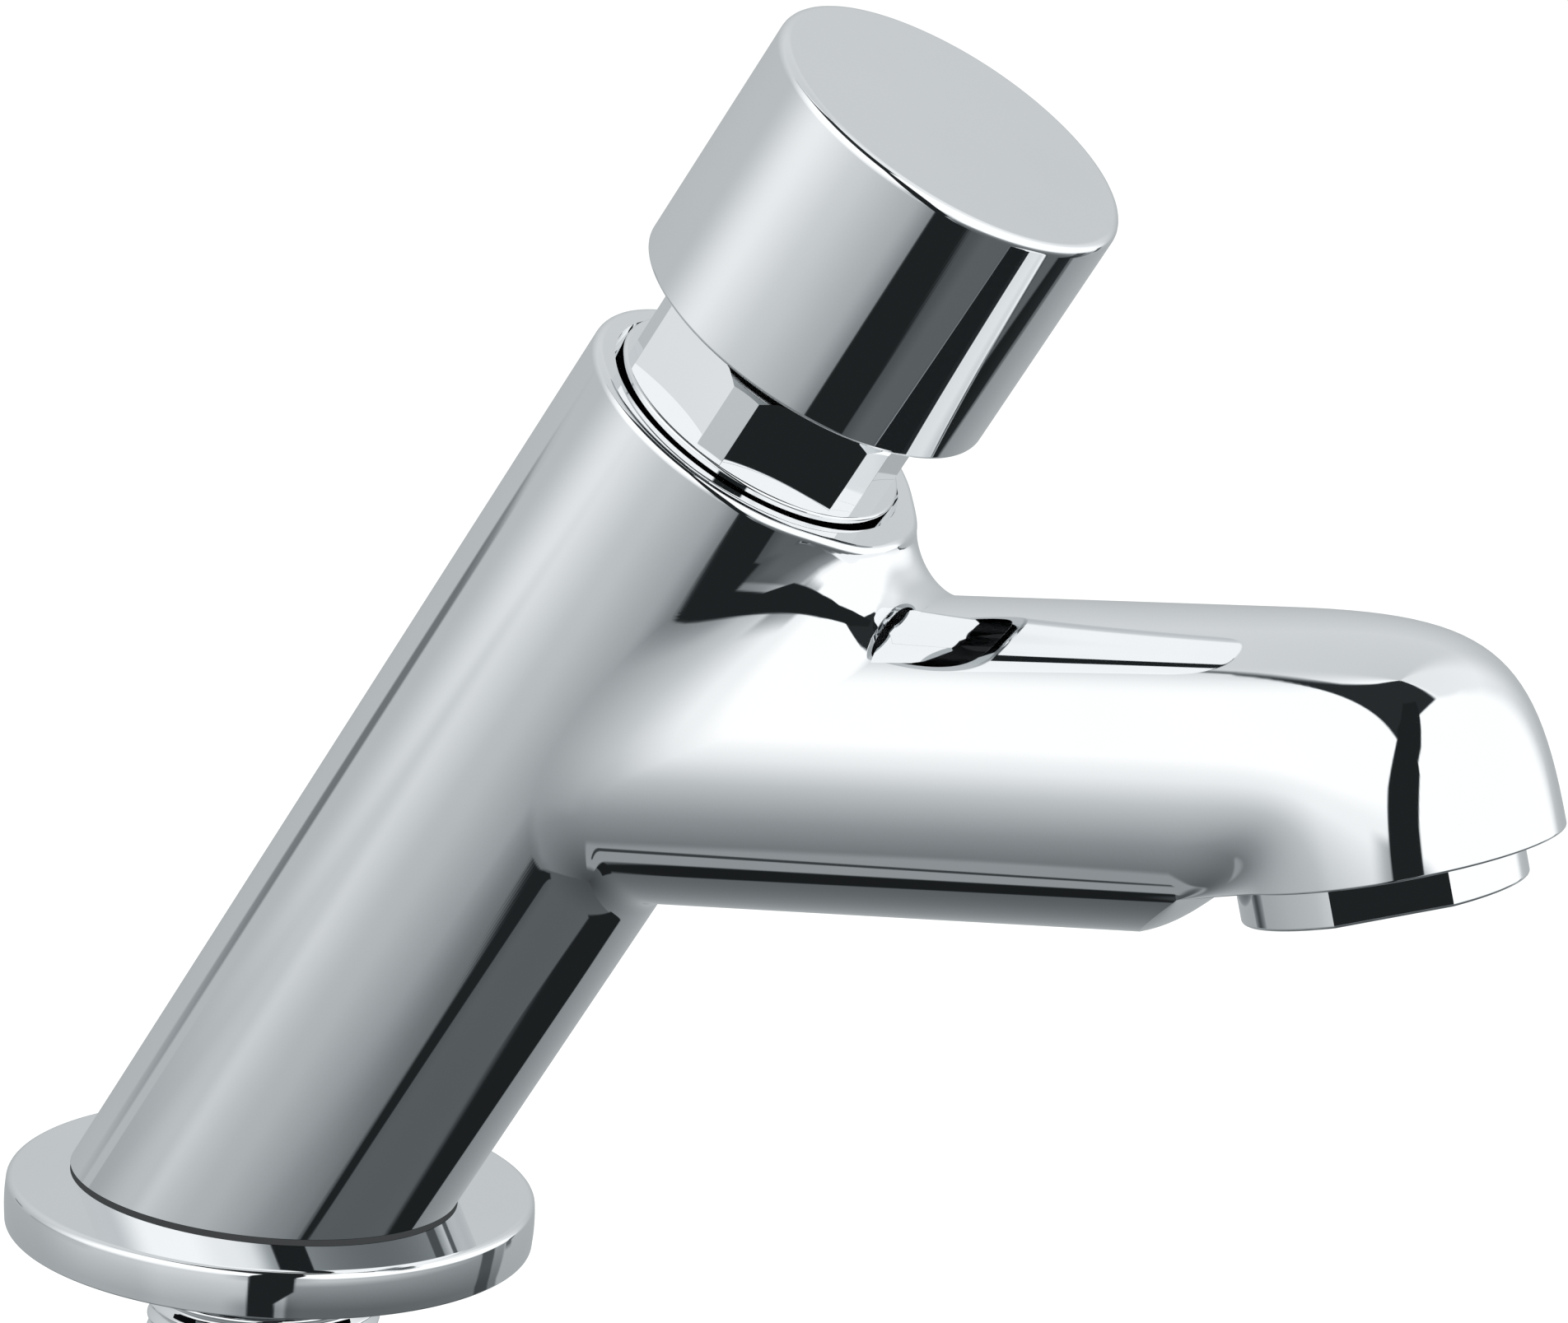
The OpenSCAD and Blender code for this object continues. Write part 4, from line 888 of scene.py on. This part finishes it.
def light_tent():
    """A sphere round the object. Its points carry the tent's light: the tone raised to a screen's power
    and divided by the share that chrome reflects, a little cooler where it is darker."""
    az, el = np.linspace(-np.pi, np.pi, 481), np.linspace(-np.pi / 2, np.pi / 2, 241)[:, None]
    ray = np.stack([np.cos(el) * np.cos(az), np.cos(el) * np.sin(az), np.sin(el) + 0 * az], -1)
    tent = join_panels("light_tent", [(TENT_R * ray + TENT_MIDDLE, -ray)])
    place = np.empty(len(tent.data.vertices) * 3)
    tent.data.vertices.foreach_get("co", place)
    x, y, z = unit(place.reshape(-1, 3) - TENT_MIDDLE * MM).T
    tone = tent_tone(np.degrees(np.arctan2(y, x)), np.degrees(np.arcsin(np.clip(z, -1, 1))))[:, None]
    share = tone / SCREEN_WHITE
    light = share ** SCREEN_POWER / CHROME_SHARE * (1 + (COOL - 1) * (1 - share))
    glow = tent.data.attributes.new("glow", "FLOAT_COLOR", "POINT")
    glow.data.foreach_set("color", np.column_stack([light, tone * 0 + 1]).astype(np.float32).ravel())
    material = bpy.data.materials.new("tent_cloth")
    material.use_nodes = True
    tree = material.node_tree
    tree.nodes.clear()
    read = add(tree, "ShaderNodeAttribute")
    read.attribute_name = "glow"
    lit = add(tree, "ShaderNodeEmission")
    link(tree, read, "Color", lit, "Color")
    link(tree, lit, "Emission", add(tree, "ShaderNodeOutputMaterial"), "Surface")
    tent.data.materials.append(material)
    return tent


def white_floor():
    """A level square under the tail, pale by its own colour; for the camera it glows up to white."""
    sides = [-FLOOR_HALF, FLOOR_HALF]
    square = np.stack(np.meshgrid(sides, sides, [FLOOR_AT]), -1)[:, :, 0]
    floor = join_panels("floor", [(square, np.broadcast_to(upright, square.shape))])
    paint = finish("floor_paint", dark=(0.86, 0.86, 0.86), pale=(0.88, 0.88, 0.88), rough=(0.8, 0.9), scale=3)
    tree = paint.node_tree
    shader = tree.nodes["Principled BSDF"]
    shader.inputs["Emission Color"].default_value = WHITE
    shader.inputs["Specular IOR Level"].default_value = 0.0
    rays = add(tree, "ShaderNodeLightPath")
    level = add(tree, "ShaderNodeMapRange", To_Max=FLOOR_SHOWN)
    link(tree, rays, "Is Camera Ray", level, "Value")
    link(tree, level, "Result", shader, "Emission Strength")
    floor.data.materials.append(paint)
    return floor


def studio_sky():
    """The world: white for the camera, mirrors and glass, and a little dimmer as a light."""
    world = bpy.data.worlds.new("studio")
    world.use_nodes = True
    tree = world.node_tree
    background = tree.nodes["Background"]
    background.inputs["Color"].default_value = WHITE
    rays = add(tree, "ShaderNodeLightPath")
    first_sum = add(tree, "ShaderNodeMath")
    second_sum = add(tree, "ShaderNodeMath")
    second_sum.use_clamp = True
    level = add(tree, "ShaderNodeMapRange", To_Min=SKY_LIGHT, To_Max=SKY_SHOWN)
    link(tree, rays, "Is Camera Ray", first_sum, 0)
    link(tree, rays, "Is Glossy Ray", first_sum, 1)
    link(tree, first_sum, "Value", second_sum, 0)
    link(tree, rays, "Is Transmission Ray", second_sum, 1)
    link(tree, second_sum, "Value", level, "Value")
    link(tree, level, "Result", background, "Strength")
    return world


def stand(name, data, right, back, place):
    """A lamp or a camera at a place in millimetres, looking away from back, its right along right."""
    thing = bpy.data.objects.new(name, data)
    bpy.context.scene.collection.objects.link(thing)
    axes = np.stack([right, np.cross(back, right), back, place * MM], 1)
    thing.matrix_world = Matrix(np.vstack([axes, [0, 0, 0, 1]]).tolist())
    return thing


tent = light_tent()
tent.visible_camera = tent.visible_diffuse = tent.visible_shadow = tent.visible_transmission = False

floor = white_floor()
floor.visible_glossy = False

bpy.context.scene.world = studio_sky()

lamp_way = unit(np.array([-0.5, -0.7, 1.3]))
lamp_data = bpy.data.lights.new("soft_lamp", "AREA")
lamp = stand("soft_lamp", lamp_data, unit(np.cross(upright, lamp_way)), lamp_way, LAMP_FAR * lamp_way)
lamp.data.shape = "DISK"
lamp.data.size = LAMP_SIZE
lamp.data.energy = LAMP_POWER
lamp.visible_glossy = False

# Camera, fitted to the outlines of the photographed view: turned from the side view towards the outlet,
# raised, and rolled. The lens and the sensor are in millimetres, the clipping distances in metres.
VIEW_TURN, VIEW_RISE, VIEW_ROLL = np.radians([26.3135, 14.8240, 4.4497])
VIEW_FROM = np.array([331.36, -569.95, 233.2])
LENS, SENSOR, CLIP_NEAR, CLIP_FAR = 169.07, 36.0, 0.05, 20.0
level_right = fan(VIEW_TURN, ahead, across)
camera_way = np.cos(VIEW_RISE) * np.cross(level_right, upright) + np.sin(VIEW_RISE) * upright
camera_right = np.cos(VIEW_ROLL) * level_right + np.sin(VIEW_ROLL) * np.cross(camera_way, level_right)
camera = stand("camera", bpy.data.cameras.new("camera"), camera_right, camera_way, VIEW_FROM)
camera.data.lens = LENS
camera.data.sensor_width = SENSOR
camera.data.clip_start = CLIP_NEAR
camera.data.clip_end = CLIP_FAR
bpy.context.scene.camera = camera
bpy.context.scene.view_settings.view_transform = "Standard"
